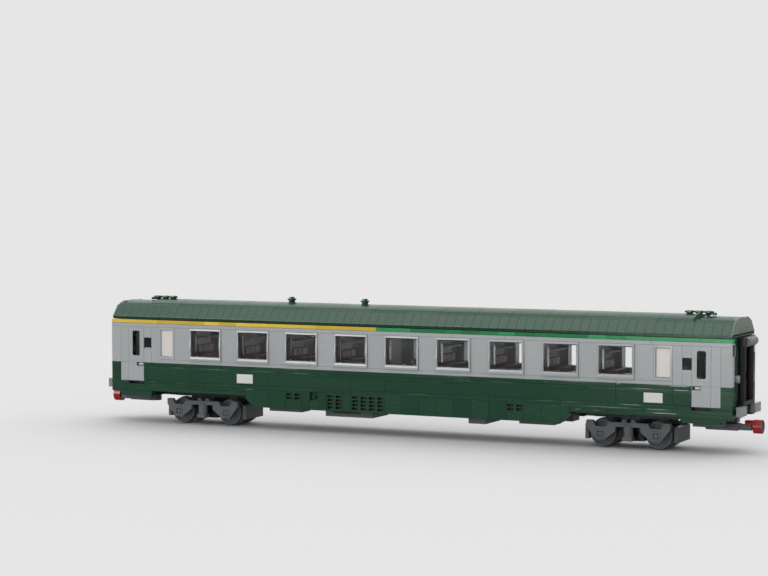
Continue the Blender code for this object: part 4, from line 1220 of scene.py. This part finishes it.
wall = [plain_block((wall_back, -wall_half, wall_foot), (wall_face, wall_half, end_top), green_plastic)]
bay, fittings = [], []
for side in (-1, 1):
    y0, y1 = span(side, post_inner, post_outer)
    low = post_foot
    while low < end_top - seam:
        high = min(low + 3 * plate, end_top)
        wall.append(brick((wall_face - 0.0002, y0, low), (post_face, y1, high), proud=0.0))
        low = high
    fittings.append(buffer_pad(side * buffer_y))
    stem_ends = [(x, side * buffer_y, stem_z) for x in (stem_back, stem_face)]
    bay.append(smooth(rod(*stem_ends, stem_radius, black_plastic, axis="X")))
    tube = rod((tube_x, side * tube_y, tube_low), (tube_x, side * tube_y, roller_z), tube_radius,
               black_plastic)
    bay.append(smooth(soften(tube, block_round)))
    fittings.append(lamp(side * lamp_y))
for near, far, half, low, high in bay_blocks:
    bay.append(plain_block((near, -half, low), (far, half, high), black_plastic))
end_door = plain_block((bay_face, -door_half, door_low_edge), (door_face, door_half, door_top_edge), door_red)
fittings.append(end_roller())
assemble_pair(wall, "end_wall_front_bricks", ("end_wall_front",))
assemble_pair(bay, "end_bay_front", ("gangway_front",))
assemble_pair(fittings, "lamps_and_buffers_front")
assemble_pair([end_door], "end_door_front")

# The running gear and couplers: dark grey moulded frames, wheels and arms, red magnet holders.
# They are the solids' own forms, with their flats joined up and their edges rounded.
red_plastic = plastic("red_plastic", (0.300, 0.013, 0.016), 0.30, 0.1)
steel = bpy.data.materials.new("magnet_steel")
steel.use_nodes = True
metal = steel.node_tree.nodes["Principled BSDF"].inputs
metal["Metallic"].default_value = 1.0
metal["Roughness"].default_value = 0.38
steel_place = node_in(steel.node_tree, "ShaderNodeTexCoord").outputs["Object"]
tarnish = ramp_between(steel.node_tree, noise_in(steel.node_tree, steel_place, 600.0, 3.0), 0.35, 0.70)
steel_tone = node_in(steel.node_tree, "ShaderNodeMix", data_type="RGBA")
steel_tone.inputs["A"].default_value = (0.27, 0.26, 0.22, 1.0)
steel_tone.inputs["B"].default_value = (0.20, 0.19, 0.16, 1.0)
join_up(steel.node_tree, tarnish, steel_tone.inputs["Factor"])
join_up(steel.node_tree, steel_tone.outputs["Result"], metal["Base Color"])
bogie_x, painted_shade_half_width, painted_shade_half_length, magnet_face = 0.2, 0.0165, 0.030, 0.3050


def refined(node, name, body, look=rough_dark, second_look=None, second_look_test=None):
    piece = twin_of(frame["nodes"][node])
    piece.parent = None
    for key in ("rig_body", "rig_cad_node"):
        if key in piece:
            del piece[key]
    piece.hide_viewport = False
    make_active(piece)
    bpy.ops.object.mode_set(mode="EDIT")
    bpy.ops.mesh.select_all(action="SELECT")
    bpy.ops.mesh.remove_doubles(threshold=0.00001)
    bpy.ops.mesh.dissolve_limited(angle_limit=math.radians(1.5))
    bpy.ops.mesh.select_all(action="SELECT")
    bpy.ops.mesh.customdata_custom_splitnormals_clear()
    done()
    piece.data.materials.clear()
    piece.data.materials.append(look)
    if second_look:
        paint(piece, second_look, second_look_test)
    smooth(soften(piece, 0.00015, 1), 32.0)
    assemble([piece], name, body, (node,))


# The middle of each bogie frame, between its side frames, is painted black: painted shade
for end, centre in (("front", bogie_x), ("rear", -bogie_x)):
    refined(f"bogie_frame_{end}", f"bogie_{end}_frame", f"bogie_{end}", second_look=black_plastic,
            second_look_test=lambda c, n: abs(c.y) < painted_shade_half_width and abs(c.x - centre) < painted_shade_half_length)
    for spot in ("inner", "outer"):
        refined(f"wheelset_{end}_{spot}", f"wheels_{end}_{spot}", f"axle_{end}_{spot}")
    refined(f"coupler_{end}", f"coupler_arm_piece_{end}", f"coupler_arm_{end}")
for end in ("front", "rear"):
    refined(f"magnet_{end}", f"magnet_piece_{end}", f"coupler_arm_{end}", red_plastic, steel,
            lambda c, n: abs(n.x) > square_on and abs(c.x) > magnet_face)

# The bogies' long top plates, black and flat, that carry the side frames under the floor.
# They turn with the bogies.
plate_half_length, plate_half_width, plate_low, plate_high = 0.0390, 0.0158, 0.0252, 0.0280
for centre, end in ((-bogie_x, "rear"), (bogie_x, "front")):
    top_plate = plain_block((centre - plate_half_length, -plate_half_width, plate_low),
                            (centre + plate_half_length, plate_half_width, plate_high), black_plastic)
    assemble([top_plate], f"bogie_{end}_top_plate", f"bogie_{end}")

for master in masters.values():
    bpy.data.objects.remove(master)
